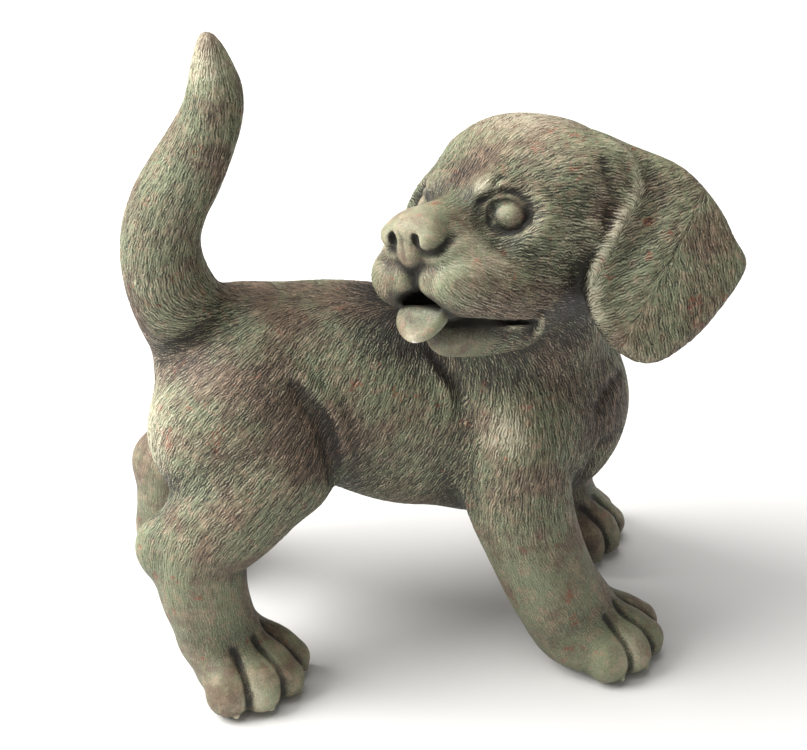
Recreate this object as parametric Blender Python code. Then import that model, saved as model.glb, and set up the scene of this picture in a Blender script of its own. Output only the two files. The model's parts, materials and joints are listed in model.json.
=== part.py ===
"""A beagle puppy standing on four paws and looking back over its right shoulder, cast as one piece.

The puppy is modelled the way a sculptor builds it up: masses of clay (balls, limbs and leaves) are
blended into one skin, then creases and ridges are drawn in. Masses are given in millimetres of a
puppy 382 mm tall, and the finished casting is scaled to STATUE_HEIGHT.
+X is the way the body faces, +Y the puppy's left, +Z up. The origin is on the ground, under the
middle of the casting.
"""

import math

import bpy
import numpy as np

# Driving dimensions, in metres
STATUE_HEIGHT = 0.382  # ground to the tip of the tail
SKIN_VOXEL = 0.0020  # grain of the skin before it is thinned out
SKIN_FACES = 9400  # triangles of the finished solid

# The clay puppy, in millimetres
CLAY_HEIGHT = 382.0
MIDDLE = (12.2, 11.3)  # point of the ground under the middle of the casting
CLAY_LOW, CLAY_HIGH = (-175.0, -110.0, -14.0), (200.0, 140.0, 392.0)  # room the clay stands in
GRADIENT_STEP = 0.35  # spacing of the four probes that find which way the skin faces
LEAST_SLOPE = 0.2  # a flatter slope counts as this, so that no point of the skin runs away
LONGEST_MOVE = 1.5  # how far a point of the skin moves in one round of fitting
LAYING_ROUNDS = 6  # rounds of fitting that lay a stroke on the skin
TRUING_ROUNDS = 2  # rounds of fitting that true the finished skin
SOLE_SHARE = 0.2  # points of a sole nearer the ground than this share of SKIN_VOXEL are set on it

# Head: where its skull ball sits, and how the head is turned on the neck, in degrees
HEAD_AT = (63.0, 15.0, 277.0)
HEAD_TURN = -132.0
HEAD_PITCH = 20.0
HEAD_ROLL = 16.0


# Shapes of the masses

def curve_span(a, b, c, d, steps):
    """Points of a Catmull-Rom curve from b up to c, which leaves out c itself."""
    t = (np.arange(steps) / steps)[:, None]
    bend = 2 * a - 5 * b + 4 * c - d
    return 0.5 * (2 * b + (c - a) * t + bend * t**2 + (3 * (b - c) + d - a) * t**3)


def smooth_path(stations, steps):
    """Points of a smooth curve through the stations, which may carry radii as further columns."""
    rows = np.asarray(stations, float)
    ends = np.vstack([2 * rows[0] - rows[1], rows, 2 * rows[-1] - rows[-2]])
    spans = [curve_span(*ends[i : i + 4], steps) for i in range(len(rows) - 1)]
    return np.vstack([*spans, rows[-1:]])


def ring_path(stations, steps):
    """Points of a closed smooth curve through the stations."""
    rows = np.asarray(stations, float)
    turns = [np.roll(rows, shift, axis=0) for shift in (1, 0, -1, -2)]
    return np.vstack([curve_span(a, b, c, d, steps) for a, b, c, d in zip(*turns)])


class Ball:
    """An ellipsoid: its centre, its three radii and the frame whose rows are their directions."""

    def __init__(self, centre, radii, frame=None):
        self.centre = np.asarray(centre, float)
        self.radii = np.asarray(radii, float) * np.ones(3)
        self.frame = np.eye(3) if frame is None else np.asarray(frame, float)
        self.middle, self.reach = self.centre, self.radii.max()

    def distance(self, points):
        local = (points - self.centre) @ self.frame.T
        near = np.linalg.norm(local / self.radii, axis=1)
        slope = np.linalg.norm(local / self.radii**2, axis=1)
        return np.where(slope > 1e-9, near * (near - 1) / np.maximum(slope, 1e-9), -self.radii.min())


class Limb:
    """A tapering round limb along a smooth curve through stations of x, y, z, radius."""

    def __init__(self, stations, steps=4):
        path = smooth_path(stations, steps)
        self.spine, self.radii = path[:, :3], np.maximum(path[:, 3], 0.5)
        self.middle = (self.spine.min(0) + self.spine.max(0)) / 2
        self.reach = (np.linalg.norm(self.spine - self.middle, axis=1) + self.radii).max()

    def distance(self, points):
        found = np.full(len(points), np.inf)
        for a, b, ra, rb in zip(self.spine, self.spine[1:], self.radii, self.radii[1:]):
            found = np.minimum(found, cone_distance(points, a, b, ra, rb))
        return found


def cone_distance(points, a, b, ra, rb):
    """Distance to two balls and the cone that wraps them."""
    axis = b - a
    length2 = max(axis @ axis, 1e-6)
    drop = ra - rb
    slant2 = length2 - drop * drop
    if slant2 <= 0:
        big, radius = (a, ra) if ra > rb else (b, rb)
        return np.linalg.norm(points - big, axis=1) - radius
    reach = points - a
    y = reach @ axis
    z = y - length2
    across = reach * length2 - np.outer(y, axis)
    x2 = np.einsum("ij,ij->i", across, across)
    y2, z2 = y * y * length2, z * z * length2
    side = np.sign(drop) * drop * drop * x2
    past_b = np.sign(z) * slant2 * z2 > side
    before_a = np.sign(y) * slant2 * y2 < side
    wall = (np.sqrt(x2 * slant2 / length2) + y * drop) / length2 - ra
    wall = np.where(before_a, np.sqrt(x2 + y2) / length2 - ra, wall)
    return np.where(past_b, np.sqrt(x2 + z2) / length2 - rb, wall)


class Leaf:
    """A thick leaf, such as an ear: an outline in its own plane, bowed by a function, with a round rim."""

    CELL = 0.7  # spacing of the grid that holds the distance to the outline

    def __init__(self, origin, frame, outline, thickness, bow):
        self.origin = np.asarray(origin, float)
        self.frame = np.asarray(frame, float)
        self.half, self.bow = thickness / 2, bow
        ring = ring_path(outline, 4)
        low, high = ring.min(0) - 2 * thickness, ring.max(0) + 2 * thickness
        middle = (low + high) / 2
        self.middle = self.origin + np.array([*middle, 0.0]) @ self.frame
        self.reach = np.linalg.norm(ring - middle, axis=1).max() + 2 * thickness
        # The outline's distance is worked out once, on a grid over the leaf
        self.low = low
        columns, rows = (math.ceil(size / self.CELL) + 1 for size in high - low)
        across_at = low[0] + self.CELL * np.arange(columns)
        up_at = low[1] + self.CELL * np.arange(rows)
        across, up = np.meshgrid(across_at, up_at)
        flat = np.column_stack([across.ravel(), up.ravel()])
        self.grid = outline_distance(flat, ring).reshape(rows, columns)

    def inside(self, flat):
        """Signed distance to the outline in the leaf's plane, negative within it."""
        rows, columns = self.grid.shape
        place = (flat - self.low) / self.CELL
        column = np.clip(place[:, 0], 0, columns - 1.001)
        row = np.clip(place[:, 1], 0, rows - 1.001)
        i, j = row.astype(int), column.astype(int)
        v, u = row - i, column - j
        low = self.grid[i, j] * (1 - u) + self.grid[i, j + 1] * u
        high = self.grid[i + 1, j] * (1 - u) + self.grid[i + 1, j + 1] * u
        beyond = np.abs(place[:, 0] - column) + np.abs(place[:, 1] - row)
        return low * (1 - v) + high * v + self.CELL * beyond

    def distance(self, points):
        local = (points - self.origin) @ self.frame.T
        side = self.inside(local[:, :2]) + self.half
        face = np.abs(local[:, 2] - self.bow(local[:, 0], local[:, 1]))
        return np.hypot(np.maximum(side, 0), face) - self.half


def outline_distance(flat, ring):
    """Signed distance from points in a plane to a closed outline, negative within it."""
    nearest = np.full(len(flat), np.inf)
    within = np.zeros(len(flat), bool)
    for a, b in zip(ring, np.roll(ring, -1, axis=0)):
        edge, reach = b - a, flat - a
        share = np.clip(reach @ edge / max(edge @ edge, 1e-9), 0, 1)
        nearest = np.minimum(nearest, np.linalg.norm(reach - np.outer(share, edge), axis=1))
        spans = (a[1] > flat[:, 1]) != (b[1] > flat[:, 1])
        crossing = a[0] + (flat[:, 1] - a[1]) * edge[0] / (edge[1] if abs(edge[1]) > 1e-9 else 1e-9)
        within ^= spans & (flat[:, 0] < crossing)
    return np.where(within, -nearest, nearest)


class Stroke:
    """A crease, or a ridge where depth is negative, drawn on the skin along a smooth curve."""

    def __init__(self, stations, width, depth, steps=5):
        self.path = smooth_path(stations, steps)
        self.width, self.depth = width, depth
        self.settle()

    def settle(self):
        self.middle = (self.path.min(0) + self.path.max(0)) / 2
        self.reach = np.linalg.norm(self.path - self.middle, axis=1).max()

    def change(self, points):
        nearest = np.full(len(points), np.inf)
        along = np.zeros(len(points))
        count = len(self.path) - 1
        for i, (a, b) in enumerate(zip(self.path, self.path[1:])):
            edge, reach = b - a, points - a
            share = np.clip(reach @ edge / max(edge @ edge, 1e-9), 0, 1)
            gap = np.linalg.norm(reach - np.outer(share, edge), axis=1)
            closer = gap < nearest
            nearest = np.where(closer, gap, nearest)
            along = np.where(closer, (i + share) / count, along)
        fade = np.sqrt(np.clip(4 * along * (1 - along), 0, 1))
        return self.depth * (0.25 + 0.75 * fade) * np.exp(-((nearest / self.width) ** 2))


# Blending masses into one skin

class Clay:
    """Masses blended one after another. distance() is how far a point is outside the skin."""

    def __init__(self):
        self.steps, self.strokes = [], []

    def add(self, mass, blend=6.0):
        self.steps.append(("add", mass, blend))
        return self

    def cut(self, mass, blend=2.0):
        self.steps.append(("cut", mass, blend))
        return self

    def draw(self, stroke):
        self.strokes.append(stroke)
        return self

    def distance(self, points):
        found = np.full(len(points), 1e6)
        for kind, mass, blend in self.steps:
            gap = np.linalg.norm(points - mass.middle, axis=1) - mass.reach
            near = gap < (found + blend if kind == "add" else blend - found)
            if not near.any():
                continue
            old = found[near]
            new = mass.distance(points[near])
            if kind == "add":
                lap = np.maximum(blend - np.abs(old - new), 0)
                found[near] = np.minimum(old, new) - lap**2 / (4 * blend)
            else:
                lap = np.maximum(blend - np.abs(old + new), 0)
                found[near] = np.maximum(old, -new) + lap**2 / (4 * blend)
        for stroke in self.strokes:
            near = np.linalg.norm(points - stroke.middle, axis=1) < stroke.reach + 3 * stroke.width
            if near.any():
                found[near] += stroke.change(points[near])
        return found


    def fit(self, points, rounds):
        """Moves points onto the skin, and gives the way the skin faces at each."""
        probes = np.array([(1, -1, -1), (-1, -1, 1), (-1, 1, -1), (1, 1, 1)], float)
        for _ in range(rounds):
            gaps = [self.distance(points + GRADIENT_STEP * way) for way in probes]
            slope = sum(gap[:, None] * way for gap, way in zip(gaps, probes)) / (4 * GRADIENT_STEP)
            size2 = np.maximum(np.einsum("ij,ij->i", slope, slope), LEAST_SLOPE**2)
            move = -slope * (sum(gaps) / 4 / size2)[:, None]
            far = np.maximum(np.linalg.norm(move, axis=1) / LONGEST_MOVE, 1)
            points = points + move / far[:, None]
        return points, slope / np.sqrt(size2)[:, None]


class Group:
    """A whole clay used as one mass of another."""

    def __init__(self, clay, middle, reach):
        self.clay, self.middle, self.reach = clay, np.asarray(middle, float), reach

    def distance(self, points):
        return self.clay.distance(points)


def settle_strokes(clay, strokes):
    """Lays each stroke's path on the skin before any of them is drawn."""
    for stroke in strokes:
        stroke.path, _ = clay.fit(stroke.path, LAYING_ROUNDS)
        stroke.settle()
    for stroke in strokes:
        clay.draw(stroke)


# The puppy

def head_frame():
    """Rows: the ways the nose, the left ear and the crown point."""
    turn, pitch, roll = (math.radians(a) for a in (HEAD_TURN, HEAD_PITCH, HEAD_ROLL))
    ahead = np.array([math.cos(turn), math.sin(turn), 0.0])
    left = np.array([-math.sin(turn), math.cos(turn), 0.0])
    up = np.array([0.0, 0.0, 1.0])
    nose = ahead * math.cos(pitch) + up * math.sin(pitch)
    crown = -ahead * math.sin(pitch) + up * math.cos(pitch)
    return np.array([
        nose,
        left * math.cos(roll) + crown * math.sin(roll),
        crown * math.cos(roll) - left * math.sin(roll),
    ])


HEAD = head_frame()


def on_head(ahead, left, up):
    """A point given from the middle of the skull: towards the nose, the left ear and the crown."""
    return np.asarray(HEAD_AT) + np.array([ahead, left, up]) @ HEAD


def head_ball(place, radii, frame=np.eye(3)):
    return Ball(on_head(*place), radii, np.asarray(frame, float) @ HEAD)


def head_limb(stations):
    return Limb([(*on_head(a, l, u), r) for a, l, u, r in stations])


def head_stroke(stations, width, depth):
    return Stroke([on_head(*s) for s in stations], width, depth)


def both_sides(place):
    return [place, (place[0], -place[1], *place[2:])]


def leaning_frame(ahead, up):
    """A frame whose first row points ahead and whose third is as near to up as it can be."""
    ahead = np.asarray(ahead, float) / np.linalg.norm(ahead)
    side = np.cross(up, ahead)
    side /= np.linalg.norm(side)
    return np.array([ahead, side, np.cross(ahead, side)])


def add_trunk(clay):
    clay.add(Limb([
        (-88, 16, 168, 50), (-66, 22, 158, 55), (-36, 28, 153, 57),
        (12, 34, 144, 57), (58, 37, 140, 56), (78, 38, 138, 48),
    ]), 6)
    clay.add(Ball((8, 30, 122), (62, 46, 44)), 14)
    clay.add(Ball((44, 30, 112), (36, 40, 40)), 14)
    clay.add(Ball((84, 38, 128), (38, 44, 52)), 14)
    # Neck, twisted towards the head
    clay.add(Limb([(64, 36, 170, 50), (66, 30, 205, 48), (66, 24, 240, 46), (64, 20, 262, 42)]), 16)


def add_tail(clay):
    clay.add(Limb([
        (-92, 15, 170, 28), (-109, 12, 191, 26.5), (-121, 10, 212, 25), (-129, 9, 235, 23),
        (-131, 10, 257, 21.7), (-126, 11, 278, 21.2), (-117, 12, 296, 20.5), (-108, 12, 315, 18.5),
        (-101, 12, 333, 16.5), (-99, 12, 347, 14.8), (-100, 12, 360, 11.5), (-101, 12, 371, 7.8),
        (-102, 12, 377, 5),
    ]), 12)


# Toes of a paw: place in the row, and how far it reaches, how high and how thick it is, as shares
TOES = ((-1.5, 0.88, 0.86, 1.12), (-0.5, 0.96, 0.97, 1.0), (0.5, 1.0, 1.0, 1.0), (1.5, 0.95, 0.9, 1.0))
ANKLE_BLEND = 12  # how softly a paw runs into its leg


def add_paw(clay, heel, heading, fan, length, height, toe_radius):
    """A paw on the ground: a pad and four toes with short claws. Gives the grooves between the toes."""

    def way(place):
        turn = math.radians(heading + fan * place)
        return np.array([math.cos(turn), math.sin(turn), 0.0])

    def spot(place, along, high):
        """A point of the paw: its place in the row, and how far along and how high it is, as shares."""
        return np.array([*heel, high * height]) + along * length * way(place)

    paw = Clay()
    pad = spot(0, 0.5, 0.4)
    upright = leaning_frame(way(0), (0, 0, 1))
    paw.add(Ball(pad, (0.42 * length, 0.4 * length, 0.48 * height), upright))
    grooves = []
    for place, reach, stance, girth in TOES:
        radius = toe_radius * girth
        tip = spot(place, reach, 0)
        ball = tip - radius * way(place)
        paw.add(Limb([
            (*spot(place, 0.28, 0.78 * stance), radius),
            (*spot(place, 0.62, 0.58 * stance), radius),
            (ball[0], ball[1], radius * 0.97, radius),
        ]), 2.5)
        # The claw, sunk into the toe
        claw = tip + (0, 0, 5)
        paw.add(Limb([(*(claw - 5 * way(place) + (0, 0, 3)), 2.8), (*(claw - 2.2 * way(place)), 2.0)]), 0.6)
        if place < TOES[-1][0]:
            beside, far = place + 0.5, 0.96 * reach
            grooves.append(Stroke([
                spot(beside, 0.5, 0.9), spot(beside, 0.64, 0.84),
                spot(beside, 0.85 * far, 0.6), spot(beside, far, 0.2),
            ], 1.6, 3.4))
    clay.add(Group(paw, pad, 0.9 * length), ANKLE_BLEND)
    return grooves


def add_legs(clay):
    # Right hind leg, nearest the turned face: haunch, shank, hock and pastern
    clay.add(Ball((-92, -16, 150), (49, 36, 50)), 12)
    clay.add(Ball((-70, -22, 134), (36, 26, 34)), 10)
    clay.add(Limb([
        (-76, -26, 130, 33), (-94, -34, 112, 32), (-112, -40, 90, 27.5),
        (-112, -44, 64, 25), (-106, -46, 40, 23),
    ]), 8)
    clay.add(Ball((-136, -40, 88), (13, 13, 18)), 8)
    # Left hind leg
    clay.add(Ball((-94, 44, 150), (42, 34, 48)), 12)
    clay.add(Limb([
        (-92, 52, 132, 30), (-114, 58, 104, 25), (-132, 62, 78, 21), (-136, 62, 56, 20), (-136, 62, 34, 21),
    ]), 8)
    clay.add(Ball((-146, 66, 72), (12, 12, 15)), 8)
    # Right foreleg
    clay.add(Ball((62, 2, 142), (40, 34, 46)), 12)
    clay.add(Limb([
        (62, -8, 132, 34), (64, -16, 106, 30), (73, -22, 78, 27), (84, -24, 50, 26), (92, -22, 34, 26),
    ]), 8)
    # Left foreleg, set further back
    clay.add(Ball((74, 66, 134), (34, 30, 42)), 12)
    clay.add(Limb([(76, 72, 118, 29), (84, 80, 88, 24), (90, 86, 60, 21), (92, 88, 34, 21)]), 8)
    # Paws: heel, heading, fan of the toes, length, height, thickness of a toe
    strokes = add_paw(clay, (-117, -34), -37, 19, 68, 40, 11.5)
    strokes += add_paw(clay, (-158, 62), 4, 19, 62, 36, 10.5)
    strokes += add_paw(clay, (73, -12), -18, 14, 77, 38, 11.8)
    strokes += add_paw(clay, (74, 84), -4, 18, 59, 36, 10.5)
    return strokes


def ear_bow(x, y):
    """An ear bows out in the middle and falls away to its rim."""
    return 6.0 - 0.0025 * (x - 4) ** 2 - 0.0022 * (y + 8) ** 2


EAR_OUTLINE = [
    (-30, 65), (-6, 57), (19, 46), (37, 27), (47, 9), (54, -5), (44, -22),
    (22, -46), (-2, -58), (-26, -44), (-37, -17), (-27, 6), (-15, 28), (-20, 50),
]


def left_ear():
    """The near ear, swung out from the head. Its outline is in millimetres across and up."""
    frame = np.array([(0.971, 0.204, -0.127), (0.0, 0.527, 0.85), (0.24, -0.825, 0.512)])
    return Leaf((130.7, -18.1, 265.0), frame, EAR_OUTLINE, 12, ear_bow)


def right_ear():
    """The far ear, hanging over the back."""
    frame = np.array([(0.574, 0.791, -0.206), (0.477, -0.12, 0.871), (-0.664, 0.598, 0.446)])
    return Leaf((24, 58, 240), frame, EAR_OUTLINE, 12, ear_bow)


# Rolled rim at the front of an ear, the valley behind it, and waves of its lower edge: path, width, depth
EAR_STROKES = [
    ([(-26, 56), (-16, 51), (-10, 41), (-12, 30), (-27, 6), (-33, -8), (-35, -22), (-33, -33)], 4.2, -4.6),
    ([(-7, 46), (0, 34), (-1, 20), (-9, 5), (-17, -8), (-20, -20)], 6.0, 3.6),
    ([(40, 4), (26, 4), (12, -4), (2, -18)], 9.0, 1.6),
]


def ear_strokes(ear):
    found = []
    for path, width, depth in EAR_STROKES:
        flat = np.array(path, float)
        local = np.column_stack([flat, ear.bow(flat[:, 0], flat[:, 1]) + ear.half])
        found.append(Stroke(ear.origin + local @ ear.frame, width, depth))
    return found


EYEBALL = 10.2  # radius of a blank eye


def eye_middle(side):
    return 43, 24 * side, -2.5


def eye_facing(side):
    return leaning_frame((0.74, 0.66 * side, 0.1), (0.1, -0.12 * side, 1.0))


def eye_arc(side, angles, across, up, out, *rest):
    """Points round an eye, 0 degrees at its outer corner and 90 at its top, leaning down outwards."""
    facing = eye_facing(side) @ HEAD
    middle = on_head(*eye_middle(side))
    found = []
    for angle in angles:
        turn = math.radians(angle)
        sideways = across * math.cos(turn)
        lean = out - 1.2 * abs(math.cos(turn))
        place = np.array([lean, side * sideways, up * math.sin(turn) - 0.28 * sideways])
        found.append((*(middle + place @ facing), *rest))
    return found


TONGUE_OUTLINE = [
    (-16.5, 1), (-14.5, -4.5), (-9, -9.5), (-1.5, -11.5), (7, -8.5),
    (13, -2), (15.5, 4), (13, 8), (0, 8.5), (-14, 7.5),
]


def tongue():
    """The tip of the tongue, hanging over the lower lip. Its outline is in millimetres across and up."""
    frame = np.array([(0, 1, 0), (-0.36, 0, 0.933), (0.933, 0, 0.36)]) @ HEAD
    return Leaf(on_head(86, 1, -56), frame, TONGUE_OUTLINE, 7.5, lambda x, y: -0.006 * x**2)


def head_clay():
    head = Clay()
    head.add(head_ball((0, 0, 0), (50, 48, 47)), 6)
    for place in both_sides((-10, 14, 3)):
        head.add(head_ball(place, (42, 42, 42)), 10)
    head.add(head_ball((22, 0, 2), (31, 38, 25)), 14)
    # Cheekbones, and the bulge of each brow
    for place in both_sides((30, 27, -8)):
        head.add(head_ball(place, (24, 23, 22)), 10)
    head.add(head_limb([(-14, 0, -30, 42), (10, 0, -38, 34), (26, 0, -44, 28)]), 14)
    for place in both_sides((20, 24, -32)):
        head.add(head_ball(place, (30, 21, 28)), 14)
    # Muzzle: bridge, sides, lips and cheeks
    head.add(head_limb([(34, 0, -9, 23), (60, 0, -10.5, 18.5), (84, 0, -10.5, 15)]), 12)
    for place in both_sides((66, 13, -21)):
        head.add(head_ball(place, (27, 16, 14)), 10)
    for place in both_sides((64, 18, -34)):
        head.add(head_ball(place, (31, 20.5, 20)), 2.5)
    head.add(head_ball((68, 0, -29), (12, 10, 11)), 3)
    for place in both_sides((80, 10.5, -33)):
        head.add(head_ball(place, (14, 12, 15)), 1.5)
    for place in both_sides((42, 29, -38)):
        head.add(head_ball(place, (27, 18, 20)), 10)
    for place in both_sides((48, 16, 12)):
        head.add(head_ball(place, (10, 8, 7)), 12)
    # Nose: a broad block, two wings and the nostrils
    head.add(head_ball((90, 0, -7), (12, 16, 9)), 4)
    head.add(head_ball((92, 0, -18), (8, 8, 10)), 3)
    for place in both_sides((92, 11, -11)):
        head.add(head_ball(place, (9, 8, 7.5)), 2)
    for place in both_sides((101, 7.5, -12)):
        head.cut(head_ball(place, (8, 2.6, 3.6)), 1.0)
    # Open mouth, lower jaw and tongue
    head.cut(head_ball((84, 0, -50), (20, 14, 10)), 3)
    head.cut(head_ball((50, 0, -57.5), (37, 41, 3.2)), 2.5)
    head.add(head_limb([(12, 0, -52, 27), (38, 0, -61, 18), (60, 0, -64, 13)]), 3)
    head.add(head_ball((71, 0, -52), (18, 14, 4)), 1.5)
    head.add(tongue(), 2.5)
    # Folds of skin at the corners of the mouth
    for side in (1, -1):
        fold = [(22, 25 * side, -65, 2.2), (28, 34 * side, -62, 3.2), (35, 41 * side, -54, 2.4)]
        head.add(head_limb(fold), 2.5)
    # Eyes: sockets, blank eyeballs and their lids
    for side in (1, -1):
        facing = eye_facing(side)
        head.cut(head_ball((54.8, 34.6 * side, 1), (11, 16, 12), facing), 8)
        head.cut(head_ball((48, 28.5 * side, -2), (9.5, 11.2, 9.0), facing), 1.5)
        head.add(head_ball(eye_middle(side), EYEBALL), 0.6)
        head.add(Limb(eye_arc(side, (185, 150, 115, 80, 45, 10, -20), 13.2, 10.8, 5.8, 2.1)), 2)
        head.add(Limb(eye_arc(side, (200, 235, 270, 305, 335), 12.8, 9.4, 4.4, 1.6)), 2)
    return head


FACE_STROKES = [
    # Frown beside the brow, and the valley between muzzle and cheek
    ([(56, 15, 4), (52, 19, 13), (46, 24, 21)], 2.4, 1.8),
    ([(62, 27, -14), (46, 45, -30), (31, 47, -50)], 8.0, 2.0),
    # Crease round the back of the nose, and the one from the nose to the lips
    ([(82, 19, -8), (85, 18, -14), (89, 15, -19), (95, 10, -18), (100, 8, -14)], 1.7, 2.6),
    ([(103, -2, -9), (102, -1, -16), (98, 0, -24)], 1.2, 1.3),
    # Corner of the mouth
    ([(50, 30, -57), (40, 36, -58), (32, 37, -59)], 1.8, 2.6),
]

BODY_STROKES = [
    # Flank fold: a flap of skin between belly and thigh, and the hollow under it
    ([(-62, -22, 196), (-45, -28, 181), (-38, -29, 171), (-34, -30, 157), (-33, -27, 138)], 4.2, -3.4),
    ([(-60, -27, 186), (-47, -31, 170), (-43, -32, 156), (-42, -31, 140), (-41, -28, 120)], 5.0, 4.6),
    # Slit behind the shoulder, and the valley below it
    ([(14, 0, 193), (19, -2, 188), (25, -6, 182), (31, -10, 175), (34, -15, 168)], 2.6, 4.6),
    ([(30, -11, 173), (34, -19, 160), (35, -25, 143), (35, -29, 123), (41, -33, 102)], 6.5, 3.8),
    ([(11, -5, 186), (17, -8, 180), (24, -13, 172), (28, -17, 163)], 3.6, -1.8),
    # Below the root of the tail
    ([(-133, -4, 190), (-124, -12, 198), (-113, -15, 206), (-100, -12, 214), (-88, -5, 220)], 6.0, 4.0),
    # Hollow of the neck in front of the near ear's root
    ([(100, -3, 311), (108, -10, 303), (108, -17, 292), (102, -23, 280), (95, -29, 266)], 3.8, 3.4),
    # Chest and elbow
    ([(122, 29, 159), (115, 13, 161), (109, 3, 157), (107, -3, 150)], 4.0, 2.2),
    ([(123, 19, 126), (113, 4, 129), (106, -2, 124), (102, 0, 110)], 4.5, 2.4),
    ([(101, 11, 97), (94, -14, 118), (88, -28, 140)], 5.0, 2.0),
]


def puppy_clay():
    clay = Clay()
    add_trunk(clay)
    toe_strokes = add_legs(clay)
    add_tail(clay)
    clay.add(Group(head_clay(), HEAD_AT, 140), 8)
    # Ears, with the flesh that joins the near one to the skull and cheek
    clay.add(Ball((88, 2, 304), (22, 22, 19)), 12)
    clay.add(Ball((100, 0, 306), (20, 14, 14)), 10)
    ears = [left_ear(), right_ear()]
    clay.add(ears[0], 6)
    clay.add(Ball((98, -20, 268), (14, 13, 26)), 8)
    clay.add(Ball((107, -7, 291), (13, 12, 20)), 8)
    clay.add(ears[1], 4)
    # Creases of the face: those beside the middle line are drawn on both sides
    strokes = [head_stroke(path, width, depth) for path, width, depth in FACE_STROKES]
    for side in (1, -1):
        strokes.append(Stroke(eye_arc(side, (150, 115, 80, 45, 10, -15), 16.0, 13.4, 6.0), 1.4, 1.5))
    for path, width, depth in FACE_STROKES:
        if abs(path[0][1]) > 2:
            strokes.append(head_stroke([(a, -l, u) for a, l, u in path], width, depth))
    strokes += [Stroke(path, width, depth) for path, width, depth in BODY_STROKES] + toe_strokes
    for ear in ears:
        strokes += ear_strokes(ear)
    settle_strokes(clay, strokes)
    return clay


# From clay to mesh

BLOCK_COUNT = 4  # cells of the fine grid along one side of a coarse block
BAND = 1.5  # room left beside a block's half diagonal for the bends of the skin
FAR = 50.0  # stands for any distance well away from the skin


def sample(clay, low, cell, counts):
    """The clay's distance on a grid: exact near the skin, only its sign elsewhere."""
    blocks = [math.ceil(count / BLOCK_COUNT) + 1 for count in counts]
    corners = np.stack(np.meshgrid(*(np.arange(n) for n in blocks), indexing="ij"), axis=-1)
    coarse = clay.distance(low + corners.reshape(-1, 3) * (cell * BLOCK_COUNT)).reshape(blocks)
    near = np.abs(coarse) < cell * BLOCK_COUNT * math.sqrt(3) / 2 + BAND
    spread = np.where(coarse < 0, -FAR, FAR)
    half = BLOCK_COUNT // 2
    place = [np.minimum((np.arange(count) + half) // BLOCK_COUNT, n - 1) for count, n in zip(counts, blocks)]
    field = spread[np.ix_(*place)].astype(np.float32)
    band = np.argwhere(near[np.ix_(*place)])
    field[tuple(band.T)] = clay.distance(low + band * cell)
    return field


def skin_mesh(clay, cell, low, high):
    """Surface nets: a point in every cell the skin passes through, and a face across every edge it cuts."""
    counts = [math.ceil(size / cell) + 1 for size in high - low]
    field = sample(clay, low, cell, counts)
    inside = field < 0
    cells = np.full([count - 1 for count in counts], -1, np.int64)

    def corner(way):
        return tuple(slice(1, None) if step else slice(0, -1) for step in way)

    ways = [(i, j, k) for i in (0, 1) for j in (0, 1) for k in (0, 1)]
    count = sum(inside[corner(way)].astype(np.int8) for way in ways)
    active = np.argwhere((count > 0) & (count < 8))
    cells[tuple(active.T)] = np.arange(len(active))
    total = np.zeros((len(active), 3))
    hits = np.zeros(len(active))
    for axis in range(3):
        step = np.eye(3, dtype=int)[axis]
        for way in ways:
            if way[axis]:
                continue
            start = active + way
            a = field[tuple(start.T)]
            b = field[tuple((start + step).T)]
            cut = (a < 0) != (b < 0)
            share = np.where(cut, a / np.where(cut, a - b, 1), 0)
            total += np.where(cut[:, None], np.array(way) + share[:, None] * step, 0)
            hits += cut
    points = low + cell * (active + total / hits[:, None])
    faces = []
    for axis in range(3):
        u, v = [np.eye(3, dtype=int)[(axis + k) % 3] for k in (1, 2)]
        step = np.eye(3, dtype=int)[axis]
        ahead = tuple(slice(1, None) if k else slice(None) for k in step)
        behind = tuple(slice(None, -1) if k else slice(None) for k in step)
        for first, order in ((True, 1), (False, -1)):
            crossing = np.argwhere((inside[behind] == first) & (inside[ahead] != first))
            ring = [cells[tuple((crossing - move).T)] for move in (0 * u, u, u + v, v)]
            faces.append(np.column_stack(ring[::order]))
    return points, np.vstack(faces)


def apply_modifiers(puppy):
    graph = bpy.context.evaluated_depsgraph_get()
    mesh = bpy.data.meshes.new_from_object(puppy.evaluated_get(graph))
    puppy.modifiers.clear()
    old, puppy.data = puppy.data, mesh
    bpy.data.meshes.remove(old)


def remesh(puppy, voxel):
    modifier = puppy.modifiers.new("skin", "REMESH")
    modifier.mode = "VOXEL"
    modifier.voxel_size = voxel
    modifier.adaptivity = 0.0
    apply_modifiers(puppy)


def vertex_points(puppy):
    points = np.empty(len(puppy.data.vertices) * 3, np.float32)
    puppy.data.vertices.foreach_get("co", points)
    return points.reshape(-1, 3).astype(float)


def move_vertices(puppy, points):
    puppy.data.vertices.foreach_set("co", points.astype(np.float32).ravel())
    puppy.data.update()


def thin_out(puppy, count):
    """Takes the skin down to a number of triangles, keeping the soles flat and on the ground."""
    modifier = puppy.modifiers.new("thin", "DECIMATE")
    modifier.ratio = count / (2 * len(puppy.data.polygons))
    modifier.use_collapse_triangulate = True
    apply_modifiers(puppy)
    points = vertex_points(puppy)
    points[points[:, 2] < SOLE_SHARE * SKIN_VOXEL, 2] = 0.0
    move_vertices(puppy, points)


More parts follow.
